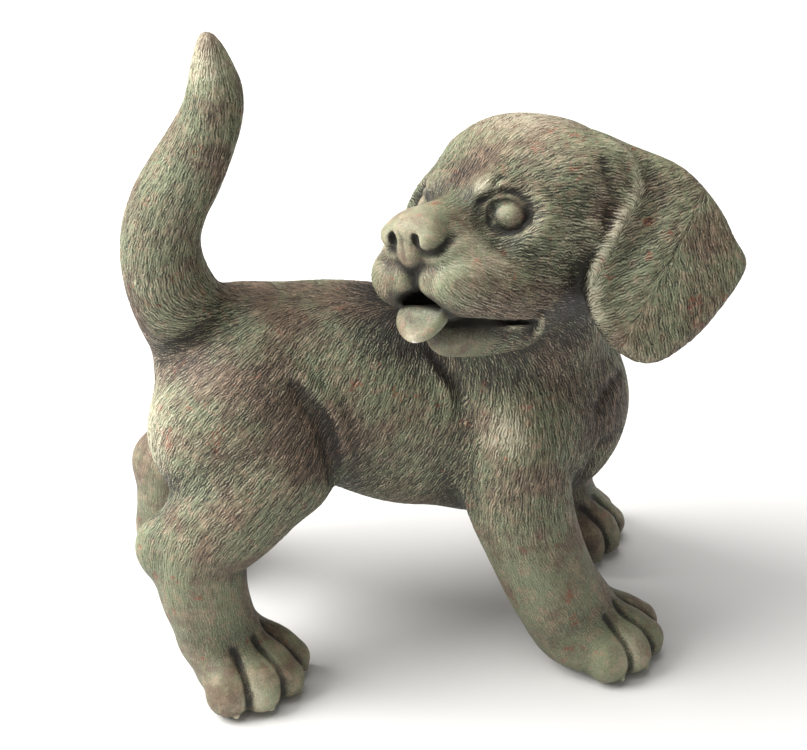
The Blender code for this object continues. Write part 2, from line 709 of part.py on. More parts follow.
def build_puppy():
    scale = STATUE_HEIGHT / CLAY_HEIGHT
    clay = puppy_clay()
    low, high = np.array(CLAY_LOW), np.array(CLAY_HIGH)
    points, faces = skin_mesh(clay, SKIN_VOXEL / scale, low, high)
    mesh = bpy.data.meshes.new("skin")
    mesh.from_pydata(points * scale, [], faces)
    puppy = bpy.data.objects.new("beagle_puppy", mesh)
    bpy.context.scene.collection.objects.link(puppy)
    remesh(puppy, SKIN_VOXEL)
    points, _ = clay.fit(vertex_points(puppy) / scale, TRUING_ROUNDS)
    points[:, :2] -= MIDDLE
    points[:, 2] = np.maximum(points[:, 2], 0.0)
    move_vertices(puppy, points * scale)
    return puppy


def main():
    for old in list(bpy.data.objects):
        bpy.data.objects.remove(old, do_unlink=True)
    thin_out(build_puppy(), SKIN_FACES)


if __name__ == "__main__":
    main()
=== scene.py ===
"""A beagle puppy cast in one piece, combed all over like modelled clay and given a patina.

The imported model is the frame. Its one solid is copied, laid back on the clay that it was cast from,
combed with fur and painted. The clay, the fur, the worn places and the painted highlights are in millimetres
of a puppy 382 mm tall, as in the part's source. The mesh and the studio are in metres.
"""

import json
import math

import bmesh
import bpy
import numpy as np
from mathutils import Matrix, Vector
from mathutils.kdtree import KDTree

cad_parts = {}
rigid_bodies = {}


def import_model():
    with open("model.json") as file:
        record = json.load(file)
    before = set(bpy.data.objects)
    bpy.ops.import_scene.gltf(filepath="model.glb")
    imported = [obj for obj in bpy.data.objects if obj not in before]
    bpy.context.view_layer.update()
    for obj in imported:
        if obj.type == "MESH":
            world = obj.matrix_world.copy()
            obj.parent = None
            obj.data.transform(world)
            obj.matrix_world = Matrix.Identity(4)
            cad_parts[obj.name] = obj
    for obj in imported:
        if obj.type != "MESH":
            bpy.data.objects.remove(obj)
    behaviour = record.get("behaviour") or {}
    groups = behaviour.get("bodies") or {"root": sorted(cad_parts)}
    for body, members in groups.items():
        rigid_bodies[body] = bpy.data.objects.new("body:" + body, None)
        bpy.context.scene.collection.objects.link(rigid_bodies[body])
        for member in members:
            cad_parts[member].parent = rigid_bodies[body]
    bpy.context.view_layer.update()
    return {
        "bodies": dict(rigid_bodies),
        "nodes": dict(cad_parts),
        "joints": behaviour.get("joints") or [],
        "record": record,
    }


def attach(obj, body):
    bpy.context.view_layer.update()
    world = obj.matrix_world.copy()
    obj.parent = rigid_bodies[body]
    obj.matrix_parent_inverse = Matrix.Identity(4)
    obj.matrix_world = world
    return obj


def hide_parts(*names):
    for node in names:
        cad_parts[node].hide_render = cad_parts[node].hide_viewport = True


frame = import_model()

# The casting on its frame
STATUE_HEIGHT = 0.382  # ground to the tip of the tail
CLAY_HEIGHT = 382.0  # the same height in the clay's millimetres
MIDDLE = (12.2, 11.3)  # point of the ground under the middle of the casting, in the clay's millimetres
GRADIENT_STEP = 0.35  # spacing of the four probes that find which way the skin faces
LEAST_SLOPE = 0.2  # a flatter slope counts as this, so that no point of the skin runs away
LONGEST_MOVE = 1.5  # how far a point of the skin moves in one round of fitting
LAYING_ROUNDS = 6  # rounds of fitting that lay a stroke on the skin

# The visible skin
SKIN_VOXEL = 0.0014  # its grain, in metres
FIT_ROUNDS = 3  # rounds of fitting that lay it on the clay
MOST_FACES = 197000
MERGE_GAP = 1e-5  # corners of the solid nearer than this, in metres, are one point

# Head: where its skull ball sits, and how the head is turned on the neck, in degrees
HEAD_AT = (63.0, 15.0, 277.0)
HEAD_TURN = -132.0
HEAD_PITCH = 20.0
HEAD_ROLL = 16.0


# Shapes of the masses

def curve_span(a, b, c, d, steps):
    """Points of a Catmull-Rom curve from b up to c, which leaves out c itself."""
    t = (np.arange(steps) / steps)[:, None]
    bend = 2 * a - 5 * b + 4 * c - d
    return 0.5 * (2 * b + (c - a) * t + bend * t**2 + (3 * (b - c) + d - a) * t**3)


def smooth_path(stations, steps):
    """Points of a smooth curve through the stations, which may carry radii as further columns."""
    rows = np.asarray(stations, float)
    ends = np.vstack([2 * rows[0] - rows[1], rows, 2 * rows[-1] - rows[-2]])
    spans = [curve_span(*ends[i : i + 4], steps) for i in range(len(rows) - 1)]
    return np.vstack([*spans, rows[-1:]])


def ring_path(stations, steps):
    """Points of a closed smooth curve through the stations."""
    rows = np.asarray(stations, float)
    turns = [np.roll(rows, shift, axis=0) for shift in (1, 0, -1, -2)]
    return np.vstack([curve_span(a, b, c, d, steps) for a, b, c, d in zip(*turns)])


class Ball:
    """An ellipsoid: its centre, its three radii and the frame whose rows are their directions."""

    def __init__(self, centre, radii, frame=None):
        self.centre = np.asarray(centre, float)
        self.radii = np.asarray(radii, float) * np.ones(3)
        self.frame = np.eye(3) if frame is None else np.asarray(frame, float)
        self.middle, self.reach = self.centre, self.radii.max()

    def distance(self, points):
        local = (points - self.centre) @ self.frame.T
        near = np.linalg.norm(local / self.radii, axis=1)
        slope = np.linalg.norm(local / self.radii**2, axis=1)
        return np.where(slope > 1e-9, near * (near - 1) / np.maximum(slope, 1e-9), -self.radii.min())


class Limb:
    """A tapering round limb along a smooth curve through stations of x, y, z, radius."""

    def __init__(self, stations, steps=4):
        path = smooth_path(stations, steps)
        self.spine, self.radii = path[:, :3], np.maximum(path[:, 3], 0.5)
        self.middle = (self.spine.min(0) + self.spine.max(0)) / 2
        self.reach = (np.linalg.norm(self.spine - self.middle, axis=1) + self.radii).max()

    def distance(self, points):
        found = np.full(len(points), np.inf)
        for a, b, ra, rb in zip(self.spine, self.spine[1:], self.radii, self.radii[1:]):
            found = np.minimum(found, cone_distance(points, a, b, ra, rb))
        return found


def cone_distance(points, a, b, ra, rb):
    """Distance to two balls and the cone that wraps them."""
    axis = b - a
    length2 = max(axis @ axis, 1e-6)
    drop = ra - rb
    slant2 = length2 - drop * drop
    if slant2 <= 0:
        big, radius = (a, ra) if ra > rb else (b, rb)
        return np.linalg.norm(points - big, axis=1) - radius
    reach = points - a
    y = reach @ axis
    z = y - length2
    across = reach * length2 - np.outer(y, axis)
    x2 = np.einsum("ij,ij->i", across, across)
    y2, z2 = y * y * length2, z * z * length2
    side = np.sign(drop) * drop * drop * x2
    past_b = np.sign(z) * slant2 * z2 > side
    before_a = np.sign(y) * slant2 * y2 < side
    wall = (np.sqrt(x2 * slant2 / length2) + y * drop) / length2 - ra
    wall = np.where(before_a, np.sqrt(x2 + y2) / length2 - ra, wall)
    return np.where(past_b, np.sqrt(x2 + z2) / length2 - rb, wall)


class Leaf:
    """A thick leaf, such as an ear: an outline in its own plane, bowed by a function, with a round rim."""

    CELL = 0.7  # spacing of the grid that holds the distance to the outline

    def __init__(self, origin, frame, outline, thickness, bow):
        self.origin = np.asarray(origin, float)
        self.frame = np.asarray(frame, float)
        self.half, self.bow = thickness / 2, bow
        ring = ring_path(outline, 4)
        low, high = ring.min(0) - 2 * thickness, ring.max(0) + 2 * thickness
        middle = (low + high) / 2
        self.middle = self.origin + np.array([*middle, 0.0]) @ self.frame
        self.reach = np.linalg.norm(ring - middle, axis=1).max() + 2 * thickness
        # The outline's distance is worked out once, on a grid over the leaf
        self.low = low
        columns, rows = (math.ceil(size / self.CELL) + 1 for size in high - low)
        across_at = low[0] + self.CELL * np.arange(columns)
        up_at = low[1] + self.CELL * np.arange(rows)
        across, up = np.meshgrid(across_at, up_at)
        flat = np.column_stack([across.ravel(), up.ravel()])
        self.grid = outline_distance(flat, ring).reshape(rows, columns)

    def inside(self, flat):
        """Signed distance to the outline in the leaf's plane, negative within it."""
        rows, columns = self.grid.shape
        place = (flat - self.low) / self.CELL
        column = np.clip(place[:, 0], 0, columns - 1.001)
        row = np.clip(place[:, 1], 0, rows - 1.001)
        i, j = row.astype(int), column.astype(int)
        v, u = row - i, column - j
        low = self.grid[i, j] * (1 - u) + self.grid[i, j + 1] * u
        high = self.grid[i + 1, j] * (1 - u) + self.grid[i + 1, j + 1] * u
        beyond = np.abs(place[:, 0] - column) + np.abs(place[:, 1] - row)
        return low * (1 - v) + high * v + self.CELL * beyond

    def distance(self, points):
        local = (points - self.origin) @ self.frame.T
        side = self.inside(local[:, :2]) + self.half
        face = np.abs(local[:, 2] - self.bow(local[:, 0], local[:, 1]))
        return np.hypot(np.maximum(side, 0), face) - self.half


def outline_distance(flat, ring):
    """Signed distance from points in a plane to a closed outline, negative within it."""
    nearest = np.full(len(flat), np.inf)
    within = np.zeros(len(flat), bool)
    for a, b in zip(ring, np.roll(ring, -1, axis=0)):
        edge, reach = b - a, flat - a
        share = np.clip(reach @ edge / max(edge @ edge, 1e-9), 0, 1)
        nearest = np.minimum(nearest, np.linalg.norm(reach - np.outer(share, edge), axis=1))
        spans = (a[1] > flat[:, 1]) != (b[1] > flat[:, 1])
        crossing = a[0] + (flat[:, 1] - a[1]) * edge[0] / (edge[1] if abs(edge[1]) > 1e-9 else 1e-9)
        within ^= spans & (flat[:, 0] < crossing)
    return np.where(within, -nearest, nearest)


class Stroke:
    """A crease, or a ridge where depth is negative, drawn on the skin along a smooth curve."""

    def __init__(self, stations, width, depth, steps=5):
        self.path = smooth_path(stations, steps)
        self.width, self.depth = width, depth
        self.settle()

    def settle(self):
        self.middle = (self.path.min(0) + self.path.max(0)) / 2
        self.reach = np.linalg.norm(self.path - self.middle, axis=1).max()

    def change(self, points):
        nearest = np.full(len(points), np.inf)
        along = np.zeros(len(points))
        count = len(self.path) - 1
        for i, (a, b) in enumerate(zip(self.path, self.path[1:])):
            edge, reach = b - a, points - a
            share = np.clip(reach @ edge / max(edge @ edge, 1e-9), 0, 1)
            gap = np.linalg.norm(reach - np.outer(share, edge), axis=1)
            closer = gap < nearest
            nearest = np.where(closer, gap, nearest)
            along = np.where(closer, (i + share) / count, along)
        fade = np.sqrt(np.clip(4 * along * (1 - along), 0, 1))
        return self.depth * (0.25 + 0.75 * fade) * np.exp(-((nearest / self.width) ** 2))


# Blending masses into one skin

class Clay:
    """Masses blended one after another. distance() is how far a point is outside the skin."""

    def __init__(self):
        self.steps, self.strokes = [], []

    def add(self, mass, blend=6.0):
        self.steps.append(("add", mass, blend))

    def cut(self, mass, blend=2.0):
        self.steps.append(("cut", mass, blend))

    def draw(self, stroke):
        self.strokes.append(stroke)

    def distance(self, points):
        found = np.full(len(points), 1e6)
        for kind, mass, blend in self.steps:
            gap = np.linalg.norm(points - mass.middle, axis=1) - mass.reach
            near = gap < (found + blend if kind == "add" else blend - found)
            if not near.any():
                continue
            old = found[near]
            new = mass.distance(points[near])
            if kind == "add":
                lap = np.maximum(blend - np.abs(old - new), 0)
                found[near] = np.minimum(old, new) - lap**2 / (4 * blend)
            else:
                lap = np.maximum(blend - np.abs(old + new), 0)
                found[near] = np.maximum(old, -new) + lap**2 / (4 * blend)
        for stroke in self.strokes:
            near = np.linalg.norm(points - stroke.middle, axis=1) < stroke.reach + 3 * stroke.width
            if near.any():
                found[near] += stroke.change(points[near])
        return found

    def fit(self, points, rounds):
        """Moves points onto the skin, and gives the way the skin faces at each."""
        probes = np.array([(1, -1, -1), (-1, -1, 1), (-1, 1, -1), (1, 1, 1)], float)
        for _ in range(rounds):
            gaps = [self.distance(points + GRADIENT_STEP * way) for way in probes]
            slope = sum(gap[:, None] * way for gap, way in zip(gaps, probes)) / (4 * GRADIENT_STEP)
            size2 = np.maximum(np.einsum("ij,ij->i", slope, slope), LEAST_SLOPE**2)
            move = -slope * (sum(gaps) / 4 / size2)[:, None]
            far = np.maximum(np.linalg.norm(move, axis=1) / LONGEST_MOVE, 1)
            points = points + move / far[:, None]
        return points, slope / np.sqrt(size2)[:, None]


class Group:
    """A whole clay used as one mass of another."""

    def __init__(self, clay, middle, reach):
        self.clay, self.middle, self.reach = clay, np.asarray(middle, float), reach

    def distance(self, points):
        return self.clay.distance(points)


def settle_strokes(clay, strokes):
    """Lays each stroke's path on the skin before any of them is drawn."""
    for stroke in strokes:
        stroke.path, _ = clay.fit(stroke.path, LAYING_ROUNDS)
        stroke.settle()
    for stroke in strokes:
        clay.draw(stroke)


# The puppy

def head_frame():
    """Rows: the ways the nose, the left ear and the crown point."""
    turn, pitch, roll = (math.radians(a) for a in (HEAD_TURN, HEAD_PITCH, HEAD_ROLL))
    ahead = np.array([math.cos(turn), math.sin(turn), 0.0])
    left = np.array([-math.sin(turn), math.cos(turn), 0.0])
    up = np.array([0.0, 0.0, 1.0])
    nose = ahead * math.cos(pitch) + up * math.sin(pitch)
    crown = -ahead * math.sin(pitch) + up * math.cos(pitch)
    return np.array([
        nose,
        left * math.cos(roll) + crown * math.sin(roll),
        crown * math.cos(roll) - left * math.sin(roll),
    ])


HEAD = head_frame()


def on_head(ahead, left, up):
    """A point given from the middle of the skull: towards the nose, the left ear and the crown."""
    return np.asarray(HEAD_AT) + np.array([ahead, left, up]) @ HEAD


def head_ball(place, radii, frame=np.eye(3)):
    return Ball(on_head(*place), radii, np.asarray(frame, float) @ HEAD)


def head_limb(stations):
    return Limb([(*on_head(a, l, u), r) for a, l, u, r in stations])


def head_stroke(stations, width, depth):
    return Stroke([on_head(*s) for s in stations], width, depth)


def both_sides(place):
    return [place, (place[0], -place[1], *place[2:])]


def leaning_frame(ahead, up):
    """A frame whose first row points ahead and whose third is as near to up as it can be."""
    ahead = np.asarray(ahead, float) / np.linalg.norm(ahead)
    side = np.cross(up, ahead)
    side /= np.linalg.norm(side)
    return np.array([ahead, side, np.cross(ahead, side)])


def add_trunk(clay):
    clay.add(Limb([
        (-88, 16, 168, 50), (-66, 22, 158, 55), (-36, 28, 153, 57),
        (12, 34, 144, 57), (58, 37, 140, 56), (78, 38, 138, 48),
    ]), 6)
    clay.add(Ball((8, 30, 122), (62, 46, 44)), 14)
    clay.add(Ball((44, 30, 112), (36, 40, 40)), 14)
    clay.add(Ball((84, 38, 128), (38, 44, 52)), 14)
    # Neck, twisted towards the head
    clay.add(Limb([(64, 36, 170, 50), (66, 30, 205, 48), (66, 24, 240, 46), (64, 20, 262, 42)]), 16)


def add_tail(clay):
    clay.add(Limb([
        (-92, 15, 170, 28), (-109, 12, 191, 26.5), (-121, 10, 212, 25), (-129, 9, 235, 23),
        (-131, 10, 257, 21.7), (-126, 11, 278, 21.2), (-117, 12, 296, 20.5), (-108, 12, 315, 18.5),
        (-101, 12, 333, 16.5), (-99, 12, 347, 14.8), (-100, 12, 360, 11.5), (-101, 12, 371, 7.8),
        (-102, 12, 377, 5),
    ]), 12)


# Toes of a paw: place in the row, and how far it reaches, how high and how thick it is, as shares
TOES = ((-1.5, 0.88, 0.86, 1.12), (-0.5, 0.96, 0.97, 1.0), (0.5, 1.0, 1.0, 1.0), (1.5, 0.95, 0.9, 1.0))
ANKLE_BLEND = 12  # how softly a paw runs into its leg


def add_paw(clay, heel, heading, fan, length, height, toe_radius):
    """A paw on the ground: a pad and four toes with short claws. Gives the grooves between the toes."""

    def way(place):
        turn = math.radians(heading + fan * place)
        return np.array([math.cos(turn), math.sin(turn), 0.0])

    def spot(place, along, high):
        """A point of the paw: its place in the row, and how far along and how high it is, as shares."""
        return np.array([*heel, high * height]) + along * length * way(place)

    paw = Clay()
    pad = spot(0, 0.5, 0.4)
    upright = leaning_frame(way(0), (0, 0, 1))
    paw.add(Ball(pad, (0.42 * length, 0.4 * length, 0.48 * height), upright))
    grooves = []
    for place, reach, stance, girth in TOES:
        radius = toe_radius * girth
        tip = spot(place, reach, 0)
        ball = tip - radius * way(place)
        paw.add(Limb([
            (*spot(place, 0.28, 0.78 * stance), radius),
            (*spot(place, 0.62, 0.58 * stance), radius),
            (ball[0], ball[1], radius * 0.97, radius),
        ]), 2.5)
        # The claw, sunk into the toe
        claw = tip + (0, 0, 5)
        paw.add(Limb([(*(claw - 5 * way(place) + (0, 0, 3)), 2.8), (*(claw - 2.2 * way(place)), 2.0)]), 0.6)
        if place < TOES[-1][0]:
            beside, far = place + 0.5, 0.96 * reach
            grooves.append(Stroke([
                spot(beside, 0.5, 0.9), spot(beside, 0.64, 0.84),
                spot(beside, 0.85 * far, 0.6), spot(beside, far, 0.2),
            ], 1.6, 3.4))
    clay.add(Group(paw, pad, 0.9 * length), ANKLE_BLEND)
    return grooves


def add_legs(clay):
    # Right hind leg, nearest the turned face: haunch, shank, hock and pastern
    clay.add(Ball((-92, -16, 150), (49, 36, 50)), 12)
    clay.add(Ball((-70, -22, 134), (36, 26, 34)), 10)
    clay.add(Limb([
        (-76, -26, 130, 33), (-94, -34, 112, 32), (-112, -40, 90, 27.5),
        (-112, -44, 64, 25), (-106, -46, 40, 23),
    ]), 8)
    clay.add(Ball((-136, -40, 88), (13, 13, 18)), 8)
    # Left hind leg
    clay.add(Ball((-94, 44, 150), (42, 34, 48)), 12)
    clay.add(Limb([
        (-92, 52, 132, 30), (-114, 58, 104, 25), (-132, 62, 78, 21), (-136, 62, 56, 20), (-136, 62, 34, 21),
    ]), 8)
    clay.add(Ball((-146, 66, 72), (12, 12, 15)), 8)
    # Right foreleg
    clay.add(Ball((62, 2, 142), (40, 34, 46)), 12)
    clay.add(Limb([
        (62, -8, 132, 34), (64, -16, 106, 30), (73, -22, 78, 27), (84, -24, 50, 26), (92, -22, 34, 26),
    ]), 8)
    # Left foreleg, set further back
    clay.add(Ball((74, 66, 134), (34, 30, 42)), 12)
    clay.add(Limb([(76, 72, 118, 29), (84, 80, 88, 24), (90, 86, 60, 21), (92, 88, 34, 21)]), 8)
    # Paws: heel, heading, fan of the toes, length, height, thickness of a toe
    strokes = add_paw(clay, (-117, -34), -37, 19, 68, 40, 11.5)
    strokes += add_paw(clay, (-158, 62), 4, 19, 62, 36, 10.5)
    strokes += add_paw(clay, (73, -12), -18, 14, 77, 38, 11.8)
    strokes += add_paw(clay, (74, 84), -4, 18, 59, 36, 10.5)
    return strokes


def ear_bow(x, y):
    """An ear bows out in the middle and falls away to its rim."""
    return 6.0 - 0.0025 * (x - 4) ** 2 - 0.0022 * (y + 8) ** 2


EAR_OUTLINE = [
    (-30, 65), (-6, 57), (19, 46), (37, 27), (47, 9), (54, -5), (44, -22),
    (22, -46), (-2, -58), (-26, -44), (-37, -17), (-27, 6), (-15, 28), (-20, 50),
]


def left_ear():
    """The near ear, swung out from the head. Its outline is in millimetres across and up."""
    frame = np.array([(0.971, 0.204, -0.127), (0.0, 0.527, 0.85), (0.24, -0.825, 0.512)])
    return Leaf((130.7, -18.1, 265.0), frame, EAR_OUTLINE, 12, ear_bow)


def right_ear():
    """The far ear, hanging over the back."""
    frame = np.array([(0.574, 0.791, -0.206), (0.477, -0.12, 0.871), (-0.664, 0.598, 0.446)])
    return Leaf((24, 58, 240), frame, EAR_OUTLINE, 12, ear_bow)


# Rolled rim at the front of an ear, the valley behind it, and waves of its lower edge: path, width, depth
EAR_STROKES = [
    ([(-26, 56), (-16, 51), (-10, 41), (-12, 30), (-27, 6), (-33, -8), (-35, -22), (-33, -33)], 4.2, -4.6),
    ([(-7, 46), (0, 34), (-1, 20), (-9, 5), (-17, -8), (-20, -20)], 6.0, 3.6),
    ([(40, 4), (26, 4), (12, -4), (2, -18)], 9.0, 1.6),
]


def ear_strokes(ear):
    found = []
    for path, width, depth in EAR_STROKES:
        flat = np.array(path, float)
        local = np.column_stack([flat, ear.bow(flat[:, 0], flat[:, 1]) + ear.half])
        found.append(Stroke(ear.origin + local @ ear.frame, width, depth))
    return found


EYEBALL = 10.2  # radius of a blank eye


def eye_middle(side):
    return 43, 24 * side, -2.5


def eye_facing(side):
    return leaning_frame((0.74, 0.66 * side, 0.1), (0.1, -0.12 * side, 1.0))


def eye_arc(side, angles, across, up, out, *rest):
    """Points round an eye, 0 degrees at its outer corner and 90 at its top, leaning down outwards."""
    facing = eye_facing(side) @ HEAD
    middle = on_head(*eye_middle(side))
    found = []
    for angle in angles:
        turn = math.radians(angle)
        sideways = across * math.cos(turn)
        lean = out - 1.2 * abs(math.cos(turn))
        place = np.array([lean, side * sideways, up * math.sin(turn) - 0.28 * sideways])
        found.append((*(middle + place @ facing), *rest))
    return found


TONGUE_OUTLINE = [
    (-16.5, 1), (-14.5, -4.5), (-9, -9.5), (-1.5, -11.5), (7, -8.5),
    (13, -2), (15.5, 4), (13, 8), (0, 8.5), (-14, 7.5),
]


def tongue():
    """The tip of the tongue, hanging over the lower lip. Its outline is in millimetres across and up."""
    frame = np.array([(0, 1, 0), (-0.36, 0, 0.933), (0.933, 0, 0.36)]) @ HEAD
    return Leaf(on_head(86, 1, -56), frame, TONGUE_OUTLINE, 7.5, lambda x, y: -0.006 * x**2)


def head_clay():
    head = Clay()
    head.add(head_ball((0, 0, 0), (50, 48, 47)), 6)
    for place in both_sides((-10, 14, 3)):
        head.add(head_ball(place, (42, 42, 42)), 10)
    head.add(head_ball((22, 0, 2), (31, 38, 25)), 14)
    # Cheekbones, and the bulge of each brow
    for place in both_sides((30, 27, -8)):
        head.add(head_ball(place, (24, 23, 22)), 10)
    head.add(head_limb([(-14, 0, -30, 42), (10, 0, -38, 34), (26, 0, -44, 28)]), 14)
    for place in both_sides((20, 24, -32)):
        head.add(head_ball(place, (30, 21, 28)), 14)
    # Muzzle: bridge, sides, lips and cheeks
    head.add(head_limb([(34, 0, -9, 23), (60, 0, -10.5, 18.5), (84, 0, -10.5, 15)]), 12)
    for place in both_sides((66, 13, -21)):
        head.add(head_ball(place, (27, 16, 14)), 10)
    for place in both_sides((64, 18, -34)):
        head.add(head_ball(place, (31, 20.5, 20)), 2.5)
    head.add(head_ball((68, 0, -29), (12, 10, 11)), 3)
    for place in both_sides((80, 10.5, -33)):
        head.add(head_ball(place, (14, 12, 15)), 1.5)
    for place in both_sides((42, 29, -38)):
        head.add(head_ball(place, (27, 18, 20)), 10)
    for place in both_sides((48, 16, 12)):
        head.add(head_ball(place, (10, 8, 7)), 12)
    # Nose: a broad block, two wings and the nostrils
    head.add(head_ball((90, 0, -7), (12, 16, 9)), 4)
    head.add(head_ball((92, 0, -18), (8, 8, 10)), 3)
    for place in both_sides((92, 11, -11)):
        head.add(head_ball(place, (9, 8, 7.5)), 2)
    for place in both_sides((101, 7.5, -12)):
        head.cut(head_ball(place, (8, 2.6, 3.6)), 1.0)
    # Open mouth, lower jaw and tongue
    head.cut(head_ball((84, 0, -50), (20, 14, 10)), 3)
    head.cut(head_ball((50, 0, -57.5), (37, 41, 3.2)), 2.5)
    head.add(head_limb([(12, 0, -52, 27), (38, 0, -61, 18), (60, 0, -64, 13)]), 3)
    head.add(head_ball((71, 0, -52), (18, 14, 4)), 1.5)
    head.add(tongue(), 2.5)
    # Folds of skin at the corners of the mouth
    for side in (1, -1):
        fold = [(22, 25 * side, -65, 2.2), (28, 34 * side, -62, 3.2), (35, 41 * side, -54, 2.4)]
        head.add(head_limb(fold), 2.5)
    # Eyes: sockets, blank eyeballs and their lids
    for side in (1, -1):
        facing = eye_facing(side)
        head.cut(head_ball((54.8, 34.6 * side, 1), (11, 16, 12), facing), 8)
        head.cut(head_ball((48, 28.5 * side, -2), (9.5, 11.2, 9.0), facing), 1.5)
        head.add(head_ball(eye_middle(side), EYEBALL), 0.6)
        head.add(Limb(eye_arc(side, (185, 150, 115, 80, 45, 10, -20), 13.2, 10.8, 5.8, 2.1)), 2)
        head.add(Limb(eye_arc(side, (200, 235, 270, 305, 335), 12.8, 9.4, 4.4, 1.6)), 2)
    return head


FACE_STROKES = [
    # Frown beside the brow, and the valley between muzzle and cheek
    ([(56, 15, 4), (52, 19, 13), (46, 24, 21)], 2.4, 1.8),
    ([(62, 27, -14), (46, 45, -30), (31, 47, -50)], 8.0, 2.0),
    # Crease round the back of the nose, and the one from the nose to the lips
    ([(82, 19, -8), (85, 18, -14), (89, 15, -19), (95, 10, -18), (100, 8, -14)], 1.7, 2.6),
    ([(103, -2, -9), (102, -1, -16), (98, 0, -24)], 1.2, 1.3),
    # Corner of the mouth
    ([(50, 30, -57), (40, 36, -58), (32, 37, -59)], 1.8, 2.6),
]

BODY_STROKES = [
    # Flank fold: a flap of skin between belly and thigh, and the hollow under it
    ([(-62, -22, 196), (-45, -28, 181), (-38, -29, 171), (-34, -30, 157), (-33, -27, 138)], 4.2, -3.4),
    ([(-60, -27, 186), (-47, -31, 170), (-43, -32, 156), (-42, -31, 140), (-41, -28, 120)], 5.0, 4.6),
    # Slit behind the shoulder, and the valley below it
    ([(14, 0, 193), (19, -2, 188), (25, -6, 182), (31, -10, 175), (34, -15, 168)], 2.6, 4.6),
    ([(30, -11, 173), (34, -19, 160), (35, -25, 143), (35, -29, 123), (41, -33, 102)], 6.5, 3.8),
    ([(11, -5, 186), (17, -8, 180), (24, -13, 172), (28, -17, 163)], 3.6, -1.8),
    # Below the root of the tail
    ([(-133, -4, 190), (-124, -12, 198), (-113, -15, 206), (-100, -12, 214), (-88, -5, 220)], 6.0, 4.0),
    # Hollow of the neck in front of the near ear's root
    ([(100, -3, 311), (108, -10, 303), (108, -17, 292), (102, -23, 280), (95, -29, 266)], 3.8, 3.4),
    # Chest and elbow
    ([(122, 29, 159), (115, 13, 161), (109, 3, 157), (107, -3, 150)], 4.0, 2.2),
    ([(123, 19, 126), (113, 4, 129), (106, -2, 124), (102, 0, 110)], 4.5, 2.4),
    ([(101, 11, 97), (94, -14, 118), (88, -28, 140)], 5.0, 2.0),
]


def puppy_clay():
    clay = Clay()
    add_trunk(clay)
    toe_strokes = add_legs(clay)
    add_tail(clay)
    clay.add(Group(head_clay(), HEAD_AT, 140), 8)
    # Ears, with the flesh that joins the near one to the skull and cheek
    clay.add(Ball((88, 2, 304), (22, 22, 19)), 12)
    clay.add(Ball((100, 0, 306), (20, 14, 14)), 10)
    ears = [left_ear(), right_ear()]
    clay.add(ears[0], 6)
    clay.add(Ball((98, -20, 268), (14, 13, 26)), 8)
    clay.add(Ball((107, -7, 291), (13, 12, 20)), 8)
    clay.add(ears[1], 4)
    # Creases of the face: those beside the middle line are drawn on both sides
    strokes = [head_stroke(path, width, depth) for path, width, depth in FACE_STROKES]
    for side in (1, -1):
        strokes.append(Stroke(eye_arc(side, (150, 115, 80, 45, 10, -15), 16.0, 13.4, 6.0), 1.4, 1.5))
    for path, width, depth in FACE_STROKES:
        if abs(path[0][1]) > 2:
            strokes.append(head_stroke([(a, -l, u) for a, l, u in path], width, depth))
    strokes += [Stroke(path, width, depth) for path, width, depth in BODY_STROKES] + toe_strokes
    for ear in ears:
        strokes += ear_strokes(ear)
    settle_strokes(clay, strokes)
    return clay, ears


# The skin of the casting

def apply_modifiers(piece):
    graph = bpy.context.evaluated_depsgraph_get()
    mesh = bpy.data.meshes.new_from_object(piece.evaluated_get(graph))
    piece.modifiers.clear()
    old, piece.data = piece.data, mesh
    bpy.data.meshes.remove(old)


def read_points(mesh):
    points = np.empty(len(mesh.vertices) * 3, np.float32)
    mesh.vertices.foreach_get("co", points)
    return points.reshape(-1, 3).astype(float) * (CLAY_HEIGHT / STATUE_HEIGHT) + (*MIDDLE, 0.0)


def write_points(mesh, points):
    placed = (points - (*MIDDLE, 0.0)) * (STATUE_HEIGHT / CLAY_HEIGHT)
    placed[:, 2] = np.maximum(placed[:, 2], 0.0)
    mesh.vertices.foreach_set("co", placed.astype(np.float32).ravel())
    mesh.update()


def read_normals(mesh):
    found = np.empty(len(mesh.vertices) * 3, np.float32)
    mesh.vertex_normals.foreach_get("vector", found)
    return found.reshape(-1, 3).astype(float)


def read_edges(mesh):
    found = np.empty(len(mesh.edges) * 2, np.int32)
    mesh.edges.foreach_get("vertices", found)
    return found.reshape(-1, 2)


def keep(mesh, name, values):
    """Stores one value or one vector for each point of the mesh."""
    values = np.asarray(values, np.float32)
    kind, field = ("FLOAT", "value") if values.ndim == 1 else ("FLOAT_VECTOR", "vector")
    layer = mesh.attributes.get(name) or mesh.attributes.new(name, kind, "POINT")
    layer.data.foreach_set(field, values.ravel())


def kept(mesh, name):
    """Gives back one stored value for each point of the mesh."""
    found = np.empty(len(mesh.vertices), np.float32)
    mesh.attributes[name].data.foreach_get("value", found)
    return found.astype(float)


def averaged(values, edges, rounds):
    """Each point takes half of its neighbours' mean, over and over."""
    a, b = edges.T
    count = len(values)
    shares = np.maximum(np.bincount(a, minlength=count) + np.bincount(b, minlength=count), 1)
    for _ in range(rounds):
        total = np.empty_like(values)
        for k in range(values.shape[1]):
            column = values[:, k]
            total[:, k] = np.bincount(a, column[b], count) + np.bincount(b, column[a], count)
        values = 0.5 * values + 0.5 * total / shares[:, None]
    return values


def smooth_step(low, high, values):
    share = np.clip((values - low) / (high - low), 0, 1)
    return share * share * (3 - 2 * share)


def deepen_eyes(clay):
    """Sharpens the crease between each eyeball and its lids, which is too fine for the solid."""
    rims = [Stroke(eye_arc(side, range(0, 361, 30), 11.6, 10.0, 4.8), 1.0, 1.7) for side in (1, -1)]
    settle_strokes(clay, rims)


